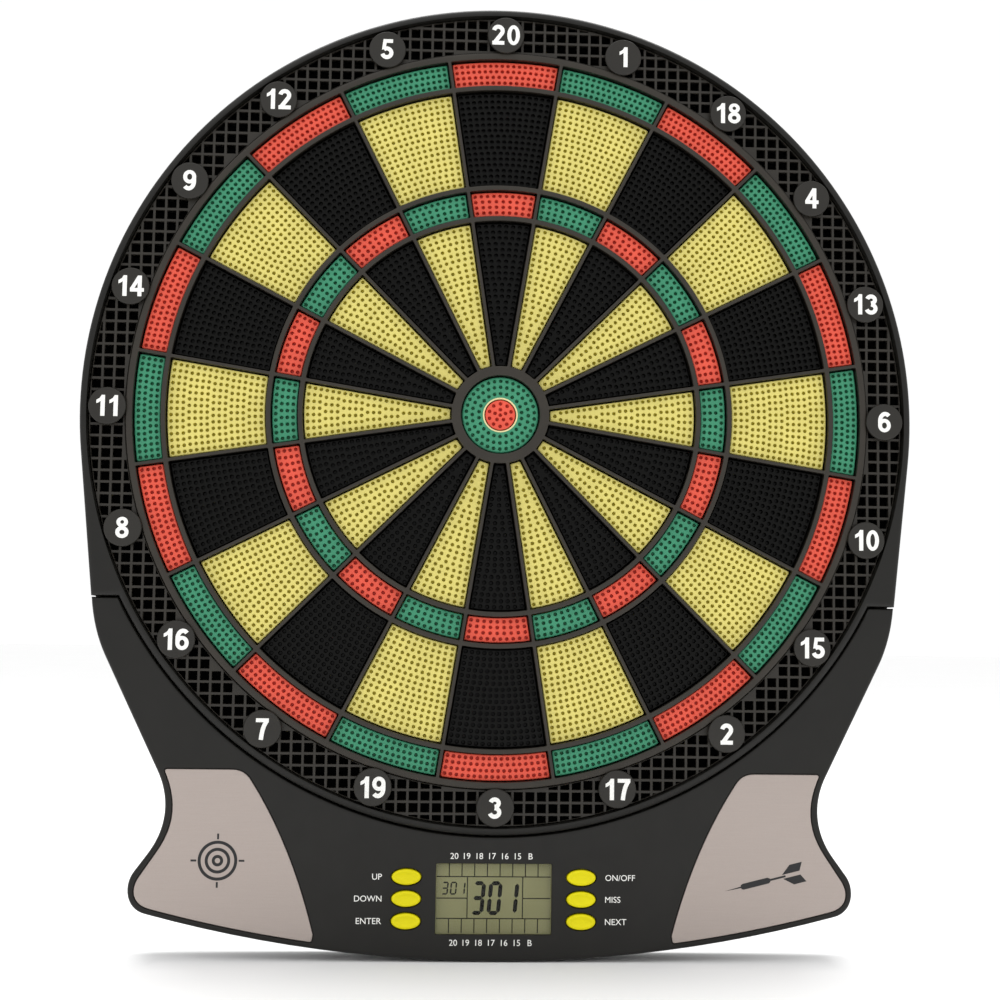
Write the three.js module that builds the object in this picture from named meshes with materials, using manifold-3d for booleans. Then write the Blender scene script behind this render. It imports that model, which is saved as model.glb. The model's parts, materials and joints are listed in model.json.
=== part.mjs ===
// Electronic soft-tip dartboard: a wall-hung target with a scoring console below it.
//
// Everything is drawn in board coordinates, in millimetres: x to the right, y up, and z as
// the distance from the wall towards the thrower. The origin is on the bull's axis at the
// wall. One turn at the end stands the board up, so that +Z is up and the front faces -Y.

import * as THREE from 'three';
import { mergeVertices } from 'three/addons/utils/BufferGeometryUtils.js';
import Module from 'manifold-3d';

const wasm = await Module();
wasm.setup();

// ---------------------------------------------------------------- driving dimensions

const GAP = 0.3; // clearance between neighbouring pieces
const PAST = 1; // how far a cutting tool reaches past the faces that it opens
const OVERLAP = 0.5; // how far joined solids run into each other

// Target: a 13.5 inch face, measured at the middle of the doubles band.
const SECTORS = 20;
const SECTOR_ANGLE = (2 * Math.PI) / SECTORS;
const ARC_STEPS = 2; // straight runs along each sector's arcs
const RING_SIDES = SECTORS * ARC_STEPS;
const INNER_BULL_RADIUS = 7.1;
const OUTER_BULL_RADIUS = 18.1;
const HUB_RADII = [18.5, 23.2];
const ARC_WALL_RADII = [94.05, 108.9, 157.6]; // below the triples, above them, below the doubles
const ARC_WALL = 2.4;
const RADIAL_WALL = 1.7;
const OUTER_RING_RADII = [171.6, 174.9];
const RIM_SETBACK = 0.2; // between the spider's web and the inner face of its outer ring
const SEGMENT_GAP = 0.4; // round each segment, inside its window of the spider
const BASE_GAP = 0.8; // between the hidden bases of neighbouring sectors

// Catch ring and its number discs.
const CATCH_RING_RADII = [175.2, 192];
const NUMBER_CIRCLE_RADIUS = 183.1;
const NUMBER_DISC = { stemRadius: 6.7, capRadius: 8.8, cap: [27.3, 28.6] }; // capped over the rims beside it

// Housing outline.
const RIM_RADIUS = 195.9;
const RIM_OPENING_RADIUS = 192.3;
const RIM_STEP_RADIUS = 193.1; // the rim's top starts here, one step above the lip of the opening
const SIDE_ANGLE = THREE.MathUtils.degToRad(6); // below the horizontal, where the straight sides begin
const SEAM_HEIGHT = -88; // where the front housing hands over to the console cover
const BOTTOM_HEIGHT = -253;
const BOTTOM_BOW_RADIUS = 622;
const WING_REACH = 158; // half width where the bowed bottom edge ends
const WING_BORDER = 2.9; // between the bowed bottom edge and the metal panels
const WING_BOTTOM = [83, 156.4]; // from where to where the right panel follows it
const WALL = 2.4;
const COVER_GROOVE_RADIUS = 196.5; // inner edge of the console cover
const FRONT_LEDGE_RADIUS = 175.2; // inner edge of the ledge below the catch ring
const RIM_INNER_WALL = 1.5;

// Layers, as [nearest the wall, nearest the thrower].
const BACK_PLATE = [0, 2];
const THROUGH_BACK = [BACK_PLATE[0] - PAST, BACK_PLATE[1] + PAST];
const REAR_SHELL = [0, 16];
const FRONT_SHELL = [16.3, 28];
const FRONT_PLATE = [25.6, 28];
const FRONT_LIP = [16.3, 26.6];
const FRONT_LEDGE = [16.3, 19.8];
const COVER_SHELL = [16.3, 26.5];
const COVER_PLATE = [24.1, 26.5];
const RIBS = [1.5, 8.3];
const BACKING_BOARD = [8.6, 11.2];
const MEMBRANE = [11.5, 11.9];
const CUSHION = [12.2, 13.5];
const SEGMENT_BASE = [14.8, 16.6];
const SEGMENT_FACE = 24;
const BULL_FACE = 24.4;
const SPIDER = [16.9, 27];
const SPIDER_RIM = [14, 27];
const SPIDER_LUG = [14, 16];
const CATCH_RING = [20.1, 25];
const CIRCUIT_BOARD = [18.3, 19.9];
const LCD_HOLDER = [20.2, 23.6];
const LCD_PANEL = [21.5, 23.5];
const LCD_WINDOW = [24.3, 26.2];
const KEYPAD = [20.2, 21.4];
const BUTTON = [22.5, 27.8];
const BUTTON_FLANGE = [22.5, 23.7];
const WING_PANEL = [25.7, 26.7];

// Retaining flanges and bases.
const BOARD_RADIUS = 174;
const LAYER_RADIUS = 173.5;
const SECTOR_BASE_RADII = [23.6, 171];
const OUTER_BULL_FLANGE_RADIUS = 22.9;
const INNER_BULL_FLANGE_RADIUS = 8.8;
const INNER_BULL_FLANGE = 1; // thickness
const BULL_COLLAR_RISE = 0.7; // keeps the outer bull clear of the inner one's flange when it is pressed alone
const SPIDER_LUG_REACH = 179.5;
const SPIDER_LUG_WIDTH = 12;
const SPIDER_LUG_ROOT = 2; // how far a lug starts inside the outer ring

// Console: the display and two columns of three buttons.
const LCD_CENTRE = [0, -224.8];
const LCD_OPENING = [52.8, 31.6];
const LCD_PANEL_SIZE = [56, 35];
const LCD_HOLDER_SIZE = [61, 39.6];
const LCD_HOLDER_VIEW = [50, 29];
const BUTTON_SIZE = [13.4, 7.2];
const BUTTON_FLANGE_EDGE = 1;
const BUTTON_CROWN = { height: 0.9, edge: 0.8 }; // the stepped top of a button
const BUTTON_GAP = 0.4; // round each button, inside its opening
const BUTTON_COLUMN = 40.3;
const BUTTON_HEIGHTS = [-214.8, -224.7, -234.8];
const BUTTON_NAMES = [['up', 'down', 'enter'], ['power', 'miss', 'next']];
const KEYPAD_SIZE = [17, 33];
const CIRCUIT_BOARD_BOX = [[-62, -245], [62, -199.5]];

// Battery well, with three AA cells lying across it.
const CELL_RADIUS = 7.1;
const CELL_LENGTH = 49.2;
const CELL_TIP = [2.6, 1]; // radius and height of the positive end's button
const CELL_DEPTH = 9.3;
const CELL_HEIGHTS = [-210.6, -225.3, -240];
const WELL_SIZE = [60.4, 44.2];
const WELL_CENTRE = [0, -225.3];
const WELL_DEPTH = [1.9, 16.6];
const WELL_FLOOR_TOP = 17.6;
const WELL_WALL = 1.6;
const DOOR_SIZE = [66, 48.2];
const DOOR = [0, 1.6];
const DOOR_LEDGE = 1.4; // frame round the door's seat, thicker than the back plate
const DOOR_LEDGE_TOP = 3.6;
const CONTACT_SHEET = 0.5;
const CONTACT_DEPTH = [2.9, 15.6];
const CONTACT_SPRING_RADIUS = 3;

// Fastening and hanging.
const BOSS_RADIUS = 4.6;
const BOSS_CIRCLE_RADIUS = 183;
const RIM_SCREW_COUNT = 6;
const WING_SCREWS = [[-140, -222], [140, -222]];
const COUNTERBORE = { radius: 3.7, depth: 8.3 };
const SCREW_HOLE_RADIUS = 1.65;
const SCREW = { headRadius: 3, head: [6.2, 8], shankRadius: 1.3, tip: 19.3 };
const COVER_BOSS_HOLE_TOP = 21;
const HANGERS = [[-58, 126], [58, 126]];
const KEYHOLE = { headRadius: 4.8, slotWidth: 4.8, rise: 10 };
const HANGER_POCKET = { size: [15, 24], wall: 1.6, depth: [2, 6.8], roof: 8.3 };

// Ribs on the back plate, and the speaker behind the left wing.
const RING_RIBS = [52, 108, 166];
const RADIAL_RIB_COUNT = 8;
const RIB_THICKNESS = 1.6;
const SPEAKER = { centre: [-92, -214], radius: 14, depth: [2.3, 7.5], coneRadius: 11, coneDepth: 1.2 };
const SOUND_HOLE_RADIUS = 1.5;
const SOUND_HOLE_SPACING = 6;

// Membrane tail, from the sensor's lower edge up to the circuit board.
const TAIL_WIDTH = 24;
const TAIL_THICKNESS = 0.4;
const TAIL_RISER = -197.7;
const TAIL_END = -203;

// ---------------------------------------------------------------- materials

const plastic = (color, roughness) => new THREE.MeshStandardMaterial({ color, roughness, metalness: 0 });
const metal = (color, roughness) => new THREE.MeshStandardMaterial({ color, roughness, metalness: 1 });

const MATERIALS = {
  housing: plastic(0x24221f, 0.5),
  rear: plastic(0x1c1b1a, 0.6),
  spider: plastic(0x3a3632, 0.45),
  yellow: plastic(0xe2d88b, 0.5),
  black: plastic(0x141412, 0.45),
  green: plastic(0x3f9370, 0.45),
  red: plastic(0xe0604e, 0.45),
  wing: metal(0xbdafa8, 0.35),
  button: plastic(0xece10c, 0.35),
  window: plastic(0xb4b494, 0.1),
  lcd: plastic(0xa6a68a, 0.3),
  rubber: plastic(0x4a4a4a, 0.8),
  film: plastic(0xd8dcc8, 0.3),
  fibreboard: plastic(0x8a6a48, 0.8),
  board: plastic(0x1f5a34, 0.4),
  cell: plastic(0x2c3a66, 0.35),
  steel: metal(0xc8c8c4, 0.35),
};

// ---------------------------------------------------------------- solids

function toManifold(geometry) {
  const bare = geometry.clone();
  bare.deleteAttribute('normal');
  bare.deleteAttribute('uv');
  const welded = mergeVertices(bare, 1e-4);
  const vertProperties = new Float32Array(welded.attributes.position.array);
  const triVerts = new Uint32Array(welded.index.array);
  return new wasm.Manifold(new wasm.Mesh({ numProp: 3, vertProperties, triVerts }));
}

function toGeometry(manifold) {
  const mesh = manifold.getMesh();
  const geometry = new THREE.BufferGeometry();
  geometry.setAttribute('position', new THREE.BufferAttribute(new Float32Array(mesh.vertProperties), 3));
  geometry.setIndex(new THREE.BufferAttribute(new Uint32Array(mesh.triVerts), 1));
  geometry.computeVertexNormals();
  return geometry;
}

function join(...geometries) {
  return toGeometry(geometries.map(toManifold).reduce((whole, piece) => whole.add(piece)));
}

function cut(geometry, ...tools) {
  const cut = (whole, tool) => whole.subtract(tool);
  return toGeometry(tools.map(toManifold).reduce(cut, toManifold(geometry)));
}

// A flat plate of the given outline, with any holes, between two distances from the wall.
function slab(outline, [from, to], ...holes) {
  const shape = new THREE.Shape(outline);
  shape.holes = holes.map((hole) => new THREE.Path(hole));
  return new THREE.ExtrudeGeometry(shape, { depth: to - from, bevelEnabled: false }).translate(0, 0, from);
}

function rod([x, y], radius, [from, to], sides = 10) {
  const geometry = new THREE.CylinderGeometry(radius, radius, to - from, sides);
  return geometry.rotateX(Math.PI / 2).translate(x, y, (from + to) / 2);
}

function block([x, y], [width, height], [from, to]) {
  return new THREE.BoxGeometry(width, height, to - from).translate(x, y, (from + to) / 2);
}

// A solid of revolution about the bull's axis, from a closed profile of [radius, z] corners.
function turned(profile, sides) {
  const corners = [...profile, profile[0]].map(([radius, z]) => new THREE.Vector2(radius, -z));
  return new THREE.LatheGeometry(corners, sides).rotateX(-Math.PI / 2);
}

function tube([inner, outer], [from, to], sides) {
  return turned([[inner, from], [inner, to], [outer, to], [outer, from]], sides);
}

// The same solid on the left of the board, with its faces still pointing out.
function mirrored(geometry) {
  const flipped = geometry.clone().scale(-1, 1, 1);
  const corners = flipped.attributes.position;
  for (let first = 0; first < corners.count; first += 3) {
    const start = new THREE.Vector3().fromBufferAttribute(corners, first);
    const end = new THREE.Vector3().fromBufferAttribute(corners, first + 2);
    corners.setXYZ(first, ...end);
    corners.setXYZ(first + 2, ...start);
  }
  return flipped;
}

// ---------------------------------------------------------------- outlines, as lists of corners

const MAX_TURN = SECTOR_ANGLE / 3; // between two straight runs of a round outline

const polar = (radius, angle) => [radius * Math.cos(angle), radius * Math.sin(angle)];

function arc(radius, from, to, steps = Math.ceil(Math.abs(to - from) / MAX_TURN - 1e-6), [x, y] = [0, 0]) {
  return Array.from({ length: steps + 1 }, (_, index) => {
    const [dx, dy] = polar(radius, from + ((to - from) * index) / steps);
    return new THREE.Vector2(x + dx, y + dy);
  });
}

const circle = (radius, sides = SECTORS * 3) => arc(radius, 0, 2 * Math.PI, sides).slice(0, -1);

function ellipse([x, y], [width, height], sides = 16) {
  const stretched = (point) => new THREE.Vector2(x + (point.x * width) / 2, y + (point.y * height) / 2);
  return circle(1, sides).map(stretched);
}

// The straight side leaves the rim circle along its tangent: its distance from the middle.
function sideHalfWidth(height) {
  const [x, y] = polar(RIM_RADIUS, -SIDE_ANGLE);
  return x - (y - height) * Math.tan(SIDE_ANGLE);
}

function bottomBow() {
  const halfAngle = Math.asin(WING_REACH / BOTTOM_BOW_RADIUS);
  const centre = [0, BOTTOM_HEIGHT + BOTTOM_BOW_RADIUS];
  return arc(BOTTOM_BOW_RADIUS, -Math.PI / 2 - halfAngle, -Math.PI / 2 + halfAngle, 8, centre);
}

// Wing, waist and shoulder on the right, from the bowed bottom edge up to the given height.
function rightFlank(top) {
  const wingTip = [new THREE.Vector2(168.2, -230.6), new THREE.Vector2(168.8, -219.5)];
  const waist = [new THREE.Vector2(149.6, -193), new THREE.Vector2(149.2, -179.5)];
  const bowEnd = bottomBow().at(-1);
  const wingTop = new THREE.Vector2(164.6, -213.6);
  const waistBelow = new THREE.Vector2(158.3, -205);
  const waistAbove = new THREE.Vector2(155.2, -167.5);
  const shoulder = new THREE.Vector2(180.6, -115.5);
  const seam = new THREE.Vector2(sideHalfWidth(top), top);
  return [
    ...new THREE.CubicBezierCurve(bowEnd, ...wingTip, wingTop).getPoints(8).slice(1),
    ...new THREE.CubicBezierCurve(waistBelow, ...waist, waistAbove).getPoints(8),
    ...new THREE.QuadraticBezierCurve(shoulder, new THREE.Vector2(186.4, -103.5), seam).getPoints(4),
  ];
}

// The lower edge of the board, from the left side at the given height round to the right.
function lowerEdge(top) {
  const right = rightFlank(top);
  const left = right.map((point) => new THREE.Vector2(-point.x, point.y)).reverse();
  return [...left, ...bottomBow(), ...right];
}

function housingOutline() {
  return [...lowerEdge(SEAM_HEIGHT), ...arc(RIM_RADIUS, -SIDE_ANGLE, Math.PI + SIDE_ANGLE)];
}

// The round rim: straight-sided down to the seam, then round below the target.
function rimOutline() {
  const lowAngle = Math.asin(-SEAM_HEIGHT / RIM_RADIUS);
  const halfWidth = sideHalfWidth(SEAM_HEIGHT);
  return [
    ...arc(RIM_RADIUS, Math.PI + lowAngle, 2 * Math.PI - lowAngle),
    new THREE.Vector2(halfWidth, SEAM_HEIGHT),
    ...arc(RIM_RADIUS, -SIDE_ANGLE, Math.PI + SIDE_ANGLE),
    new THREE.Vector2(-halfWidth, SEAM_HEIGHT),
  ];
}

// The console cover: everything below the seam and outside the rim.
function coverOutline() {
  const top = SEAM_HEIGHT - 2 * GAP;
  const lowAngle = Math.asin(-top / COVER_GROOVE_RADIUS);
  return [...lowerEdge(top), ...arc(COVER_GROOVE_RADIUS, -lowAngle, lowAngle - Math.PI)];
}

function inwardNormal(from, to) {
  const along = new THREE.Vector2().subVectors(to, from).normalize();
  return new THREE.Vector2(-along.y, along.x);
}

// A counter-clockwise outline moved inwards, with its corners mitred. An open one keeps its ends.
function inset(points, distance, closed = true) {
  const last = points.length - 1;
  return points.map((point, index) => {
    const before = index > 0 ? index - 1 : last;
    const after = index < last ? index + 1 : 0;
    const incoming = inwardNormal(points[before], point);
    const outgoing = inwardNormal(point, points[after]);
    if (!closed && index === 0) incoming.copy(outgoing);
    if (!closed && index === last) outgoing.copy(incoming);
    const mitre = distance / (1 + incoming.dot(outgoing));
    return incoming.add(outgoing).multiplyScalar(mitre).add(point);
  });
}

// One panel of satin metal on the right wing. Its left and right edges are curved.
function wingOutline(grow = 0) {
  const path = new THREE.Path();
  const bow = BOTTOM_BOW_RADIUS - WING_BORDER;
  const [start, end] = WING_BOTTOM.map((x) => Math.asin(x / bow) - Math.PI / 2);
  path.absarc(0, BOTTOM_HEIGHT + BOTTOM_BOW_RADIUS, bow, start, end);
  path.bezierCurveTo(165.2, -228, 165.8, -220.5, 161.2, -214.6);
  path.lineTo(154.6, -204.8);
  path.bezierCurveTo(145.6, -192, 145.8, -180, 152, -166.8);
  path.lineTo(121, -166.8);
  path.quadraticCurveTo(115, -166.8, 112, -172);
  path.quadraticCurveTo(93, -201, 82.5, -241);
  return inset(path.getPoints(5), -grow);
}

// A four-sided piece of a ring: its two straight sides stay parallel to the sector's edges.
function ringPiece([inner, outer], sideOffset, centreAngle) {
  const halfAngle = (radius) => SECTOR_ANGLE / 2 - Math.asin(sideOffset / radius);
  return [
    ...arc(outer, centreAngle - halfAngle(outer), centreAngle + halfAngle(outer), ARC_STEPS),
    ...arc(inner, centreAngle + halfAngle(inner), centreAngle - halfAngle(inner), ARC_STEPS),
  ];
}

// ---------------------------------------------------------------- target

// The radii of the four windows in each sector, from the hub outwards.
function windowRadii() {
  const starts = [HUB_RADII[1], ...ARC_WALL_RADII.map((radius) => radius + ARC_WALL / 2)];
  const ends = [...ARC_WALL_RADII.map((radius) => radius - ARC_WALL / 2), OUTER_RING_RADII[0]];
  return starts.map((start, index) => [start, ends[index]]);
}

const sectorAngle = (index) => Math.PI / 2 - index * SECTOR_ANGLE;

function sector(index) {
  const angle = sectorAngle(index);
  const base = slab(ringPiece(SECTOR_BASE_RADII, BASE_GAP / 2, angle), SEGMENT_BASE);
  const bodies = windowRadii().map(([inner, outer]) => {
    const radii = [inner + SEGMENT_GAP, outer - SEGMENT_GAP];
    const outline = ringPiece(radii, RADIAL_WALL / 2 + SEGMENT_GAP, angle);
    return slab(outline, [SEGMENT_BASE[0] + OVERLAP, SEGMENT_FACE]);
  });
  return join(base, ...bodies);
}

function spider() {
  const windows = Array.from({ length: SECTORS }, (_, index) =>
    windowRadii().map((radii) => ringPiece(radii, RADIAL_WALL / 2, sectorAngle(index)))).flat();
  const bore = circle(HUB_RADII[0], RING_SIDES);
  const web = slab(circle(OUTER_RING_RADII[1], RING_SIDES), SPIDER, bore, ...windows);
  const rim = tube([OUTER_RING_RADII[0] + RIM_SETBACK, OUTER_RING_RADII[1]], SPIDER_RIM, RING_SIDES);
  const lugs = [];
  for (let index = 0; index < RIM_SCREW_COUNT; index += 1) {
    const angle = ((index + 0.5) * 2 * Math.PI) / RIM_SCREW_COUNT;
    const reach = SPIDER_LUG_REACH - OUTER_RING_RADII[1] + SPIDER_LUG_ROOT;
    const lug = block([SPIDER_LUG_REACH - reach / 2, 0], [reach, SPIDER_LUG_WIDTH], SPIDER_LUG);
    lugs.push(lug.rotateZ(angle));
  }
  return join(web, rim, ...lugs);
}

function outerBull() {
  const inner = INNER_BULL_RADIUS + SEGMENT_GAP;
  const flangeInner = INNER_BULL_FLANGE_RADIUS + SEGMENT_GAP;
  const collar = SEGMENT_BASE[1] + BULL_COLLAR_RISE;
  return turned(
    [
      [inner, collar], [inner, BULL_FACE],
      [OUTER_BULL_RADIUS, BULL_FACE], [OUTER_BULL_RADIUS, SEGMENT_BASE[1]],
      [OUTER_BULL_FLANGE_RADIUS, SEGMENT_BASE[1]], [OUTER_BULL_FLANGE_RADIUS, SEGMENT_BASE[0]],
      [flangeInner, SEGMENT_BASE[0]], [flangeInner, collar],
    ],
    24,
  );
}

function innerBull() {
  const flangeTop = SEGMENT_BASE[0] + INNER_BULL_FLANGE;
  return join(
    rod([0, 0], INNER_BULL_RADIUS, [SEGMENT_BASE[0], BULL_FACE], 24),
    rod([0, 0], INNER_BULL_FLANGE_RADIUS, [SEGMENT_BASE[0], flangeTop], 24),
  );
}

function catchRing() {
  const discs = [];
  for (let index = 0; index < SECTORS; index += 1) {
    const centre = polar(NUMBER_CIRCLE_RADIUS, sectorAngle(index));
    const stem = [CATCH_RING[1] - OVERLAP, NUMBER_DISC.cap[1] - OVERLAP];
    discs.push(rod(centre, NUMBER_DISC.stemRadius, stem, 6));
    discs.push(rod(centre, NUMBER_DISC.capRadius, NUMBER_DISC.cap, 10));
  }
  return join(tube(CATCH_RING_RADII, CATCH_RING, RING_SIDES), ...discs);
}

const layer = (radius, depths) => rod([0, 0], radius, depths, RING_SIDES);

// ---------------------------------------------------------------- screws and bosses

function rimScrewCentres() {
  return Array.from({ length: RIM_SCREW_COUNT }, (_, index) =>
    polar(BOSS_CIRCLE_RADIUS, (index * 2 * Math.PI) / RIM_SCREW_COUNT));
}

const screwCentres = () => [...rimScrewCentres(), ...WING_SCREWS];

function screw([x, y]) {
  const head = rod([x, y], SCREW.headRadius, SCREW.head, 10);
  const shank = rod([x, y], SCREW.shankRadius, [SCREW.head[1] - OVERLAP, SCREW.tip], 8);
  return join(head, shank);
}

// ---------------------------------------------------------------- housings

function frontHousing() {
  const outline = rimOutline();
  const plate = slab(outline, FRONT_PLATE, circle(RIM_STEP_RADIUS));
  const wall = slab(outline, FRONT_SHELL, inset(outline, WALL));
  const innerWallRadii = [RIM_OPENING_RADIUS, RIM_OPENING_RADIUS + RIM_INNER_WALL];
  const innerWall = slab(circle(innerWallRadii[1]), FRONT_LIP, circle(innerWallRadii[0]));
  const ledge = slab(circle(innerWallRadii[1]), FRONT_LEDGE, circle(FRONT_LEDGE_RADIUS, RING_SIDES));
  const through = [FRONT_LEDGE[0] - PAST, FRONT_LEDGE[1] + PAST];
  const holes = rimScrewCentres().map((centre) => rod(centre, SCREW_HOLE_RADIUS, through, 8));
  return cut(join(plate, wall, innerWall, ledge), ...holes);
}

function consoleCover() {
  const edge = lowerEdge(SEAM_HEIGHT - 2 * GAP);
  const skirt = slab([...edge, ...inset(edge, WALL, false).reverse()], COVER_SHELL);
  const bosses = WING_SCREWS.map((centre) => rod(centre, BOSS_RADIUS, COVER_SHELL));
  const bossDepth = [COVER_SHELL[0] - PAST, COVER_BOSS_HOLE_TOP];
  const bossHoles = WING_SCREWS.map((centre) => rod(centre, SCREW_HOLE_RADIUS, bossDepth, 8));
  const through = [COVER_PLATE[0] - PAST, COVER_PLATE[1] + PAST];
  const viewing = block(LCD_CENTRE, grown(LCD_OPENING, GAP), through);
  const buttonOpening = grown(BUTTON_SIZE, BUTTON_GAP);
  const buttonHoles = buttonCentres().map((centre) => slab(ellipse(centre, buttonOpening), through));
  const recess = slab(wingOutline(GAP), [WING_PANEL[0] - GAP, through[1]]);
  const solid = join(slab(coverOutline(), COVER_PLATE), skirt, ...bosses);
  return cut(solid, viewing, ...buttonHoles, recess, mirrored(recess), ...bossHoles);
}

// A size made larger by a margin on each side.
const grown = (size, margin) => size.map((side) => side + 2 * margin);

function ribs() {
  const half = RIB_THICKNESS / 2;
  const rings = RING_RIBS.map((radius) => tube([radius - half, radius + half], RIBS, 24));
  const spokes = [];
  const [first, last] = [RING_RIBS[0], RING_RIBS.at(-1)];
  for (let index = 0; index < RADIAL_RIB_COUNT; index += 1) {
    const angle = (index * 2 * Math.PI) / RADIAL_RIB_COUNT;
    const spoke = block([(first + last) / 2, 0], [last - first, RIB_THICKNESS], RIBS);
    spokes.push(spoke.rotateZ(angle));
  }
  return [...rings, ...spokes];
}

function keyhole([x, y]) {
  const entry = rod([x, y], KEYHOLE.headRadius, THROUGH_BACK, 12);
  const slot = block([x, y + KEYHOLE.rise / 2], [KEYHOLE.slotWidth, KEYHOLE.rise], THROUGH_BACK);
  const end = rod([x, y + KEYHOLE.rise], KEYHOLE.slotWidth / 2, THROUGH_BACK, 8);
  return [entry, slot, end];
}

function hangerPocket([x, y]) {
  const centre = [x, y + KEYHOLE.rise / 2];
  const walls = [BACK_PLATE[1] - OVERLAP, HANGER_POCKET.roof];
  return {
    solid: block(centre, grown(HANGER_POCKET.size, HANGER_POCKET.wall), walls),
    hollow: block(centre, HANGER_POCKET.size, HANGER_POCKET.depth),
  };
}

function soundHoles() {
  const [x, y] = SPEAKER.centre;
  const around = Array.from({ length: 6 }, (_, index) => polar(SOUND_HOLE_SPACING, (index * Math.PI) / 3));
  return [[0, 0], ...around].map(([dx, dy]) => rod([x + dx, y + dy], SOUND_HOLE_RADIUS, THROUGH_BACK, 8));
}

function rearHousing() {
  const outline = housingOutline();
  const pockets = HANGERS.map(hangerPocket);
  const well = block(WELL_CENTRE, grown(WELL_SIZE, WELL_WALL), [BACK_PLATE[0] + OVERLAP, WELL_FLOOR_TOP]);
  const ledge = [BACK_PLATE[0] + OVERLAP, DOOR_LEDGE_TOP];
  const doorLedge = block(WELL_CENTRE, grown(DOOR_SIZE, DOOR_LEDGE), ledge);
  const bosses = screwCentres().map((centre) => rod(centre, BOSS_RADIUS, REAR_SHELL));
  const counterbore = [BACK_PLATE[0] - PAST, COUNTERBORE.depth];
  const screwHole = [COUNTERBORE.depth - PAST, REAR_SHELL[1] + PAST];
  const shell = join(
    slab(outline, BACK_PLATE),
    slab(outline, REAR_SHELL, inset(outline, WALL)),
    ...ribs(),
    ...pockets.map((pocket) => pocket.solid),
    well,
    doorLedge,
    ...bosses,
  );
  return cut(
    shell,
    ...pockets.map((pocket) => pocket.hollow),
    ...HANGERS.flatMap(keyhole),
    block(WELL_CENTRE, grown(DOOR_SIZE, GAP), [DOOR[0] - PAST, WELL_DEPTH[0]]),
    block(WELL_CENTRE, WELL_SIZE, WELL_DEPTH),
    ...screwCentres().map((centre) => rod(centre, COUNTERBORE.radius, counterbore)),
    ...screwCentres().map((centre) => rod(centre, SCREW_HOLE_RADIUS, screwHole, 8)),
    ...soundHoles(),
  );
}

// ---------------------------------------------------------------- console pieces

function buttonCentres() {
  return [-BUTTON_COLUMN, BUTTON_COLUMN].flatMap((x) => BUTTON_HEIGHTS.map((y) => [x, y]));
}

function button(centre) {
  const crown = BUTTON[1] - BUTTON_CROWN.height;
  const cap = slab(ellipse(centre, BUTTON_SIZE), [BUTTON[0], crown]);
  const top = slab(ellipse(centre, grown(BUTTON_SIZE, -BUTTON_CROWN.edge)), [crown - OVERLAP, BUTTON[1]]);
  const flange = slab(ellipse(centre, grown(BUTTON_SIZE, BUTTON_FLANGE_EDGE)), BUTTON_FLANGE);
  return join(cap, top, flange);
}

function lcdHolder() {
  return cut(
    block(LCD_CENTRE, LCD_HOLDER_SIZE, LCD_HOLDER),
    block(LCD_CENTRE, grown(LCD_PANEL_SIZE, GAP), [LCD_PANEL[0] - GAP, LCD_HOLDER[1] + PAST]),
    block(LCD_CENTRE, LCD_HOLDER_VIEW, [LCD_HOLDER[0] - PAST, LCD_HOLDER[1]]),
  );
}

const keypad = (side) => block([side * BUTTON_COLUMN, LCD_CENTRE[1]], KEYPAD_SIZE, KEYPAD);

function circuitBoard() {
  const [[left, low], [right, high]] = CIRCUIT_BOARD_BOX;
  return block([(left + right) / 2, (low + high) / 2], [right - left, high - low], CIRCUIT_BOARD);
}

function membraneTail() {
  const flat = [MEMBRANE[0], MEMBRANE[0] + TAIL_THICKNESS];
  const top = CIRCUIT_BOARD[1] + GAP;
  const start = -LAYER_RADIUS - GAP;
  const strip = (high, low, depths) => block([0, (high + low) / 2], [TAIL_WIDTH, high - low], depths);
  return join(
    strip(start, TAIL_RISER, flat),
    strip(TAIL_RISER + TAIL_THICKNESS, TAIL_RISER, [flat[0], top + TAIL_THICKNESS]),
    strip(TAIL_RISER + TAIL_THICKNESS, TAIL_END, [top, top + TAIL_THICKNESS]),
  );
}

function speaker() {
  const { centre, radius, depth, coneRadius, coneDepth } = SPEAKER;
  const frame = rod(centre, radius, depth, 20);
  return cut(frame, rod(centre, coneRadius, [depth[0] - PAST, depth[0] + coneDepth], 16));
}

function cell(y) {
  const body = new THREE.CylinderGeometry(CELL_RADIUS, CELL_RADIUS, CELL_LENGTH, 16);
  const tip = new THREE.CylinderGeometry(CELL_TIP[0], CELL_TIP[0], CELL_TIP[1] + OVERLAP, 10);
  body.rotateZ(Math.PI / 2).translate(-CELL_TIP[1] / 2, y, CELL_DEPTH);
  tip.rotateZ(Math.PI / 2).translate((CELL_LENGTH - OVERLAP) / 2, y, CELL_DEPTH);
  return join(body, tip);
}

// A sheet against the end of the well, with a spring standing out towards each cell.
function contact(side) {
  const face = WELL_SIZE[0] / 2 - GAP;
  const reach = face - (CELL_LENGTH + CELL_TIP[1]) / 2 - GAP;
  const sheet = block([side * (face - CONTACT_SHEET / 2), WELL_CENTRE[1]],
    [CONTACT_SHEET, WELL_SIZE[1] - 2 * GAP], CONTACT_DEPTH);
  const springs = CELL_HEIGHTS.map((y) => {
    const coil = new THREE.CylinderGeometry(CONTACT_SPRING_RADIUS, CONTACT_SPRING_RADIUS, reach, 10);
    return coil.rotateZ(Math.PI / 2).translate(side * (face - reach / 2), y, CELL_DEPTH);
  });
  return join(sheet, ...springs);
}

// ---------------------------------------------------------------- assembly

const board = new THREE.Group();

function add(name, geometry, material) {
  const mesh = new THREE.Mesh(geometry, MATERIALS[material].clone());
  mesh.name = name;
  board.add(mesh);
}

add('rear_housing', rearHousing(), 'rear');
add('front_housing', frontHousing(), 'housing');
add('console_cover', consoleCover(), 'housing');
add('catch_ring', catchRing(), 'spider');
add('spider', spider(), 'spider');

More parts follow.
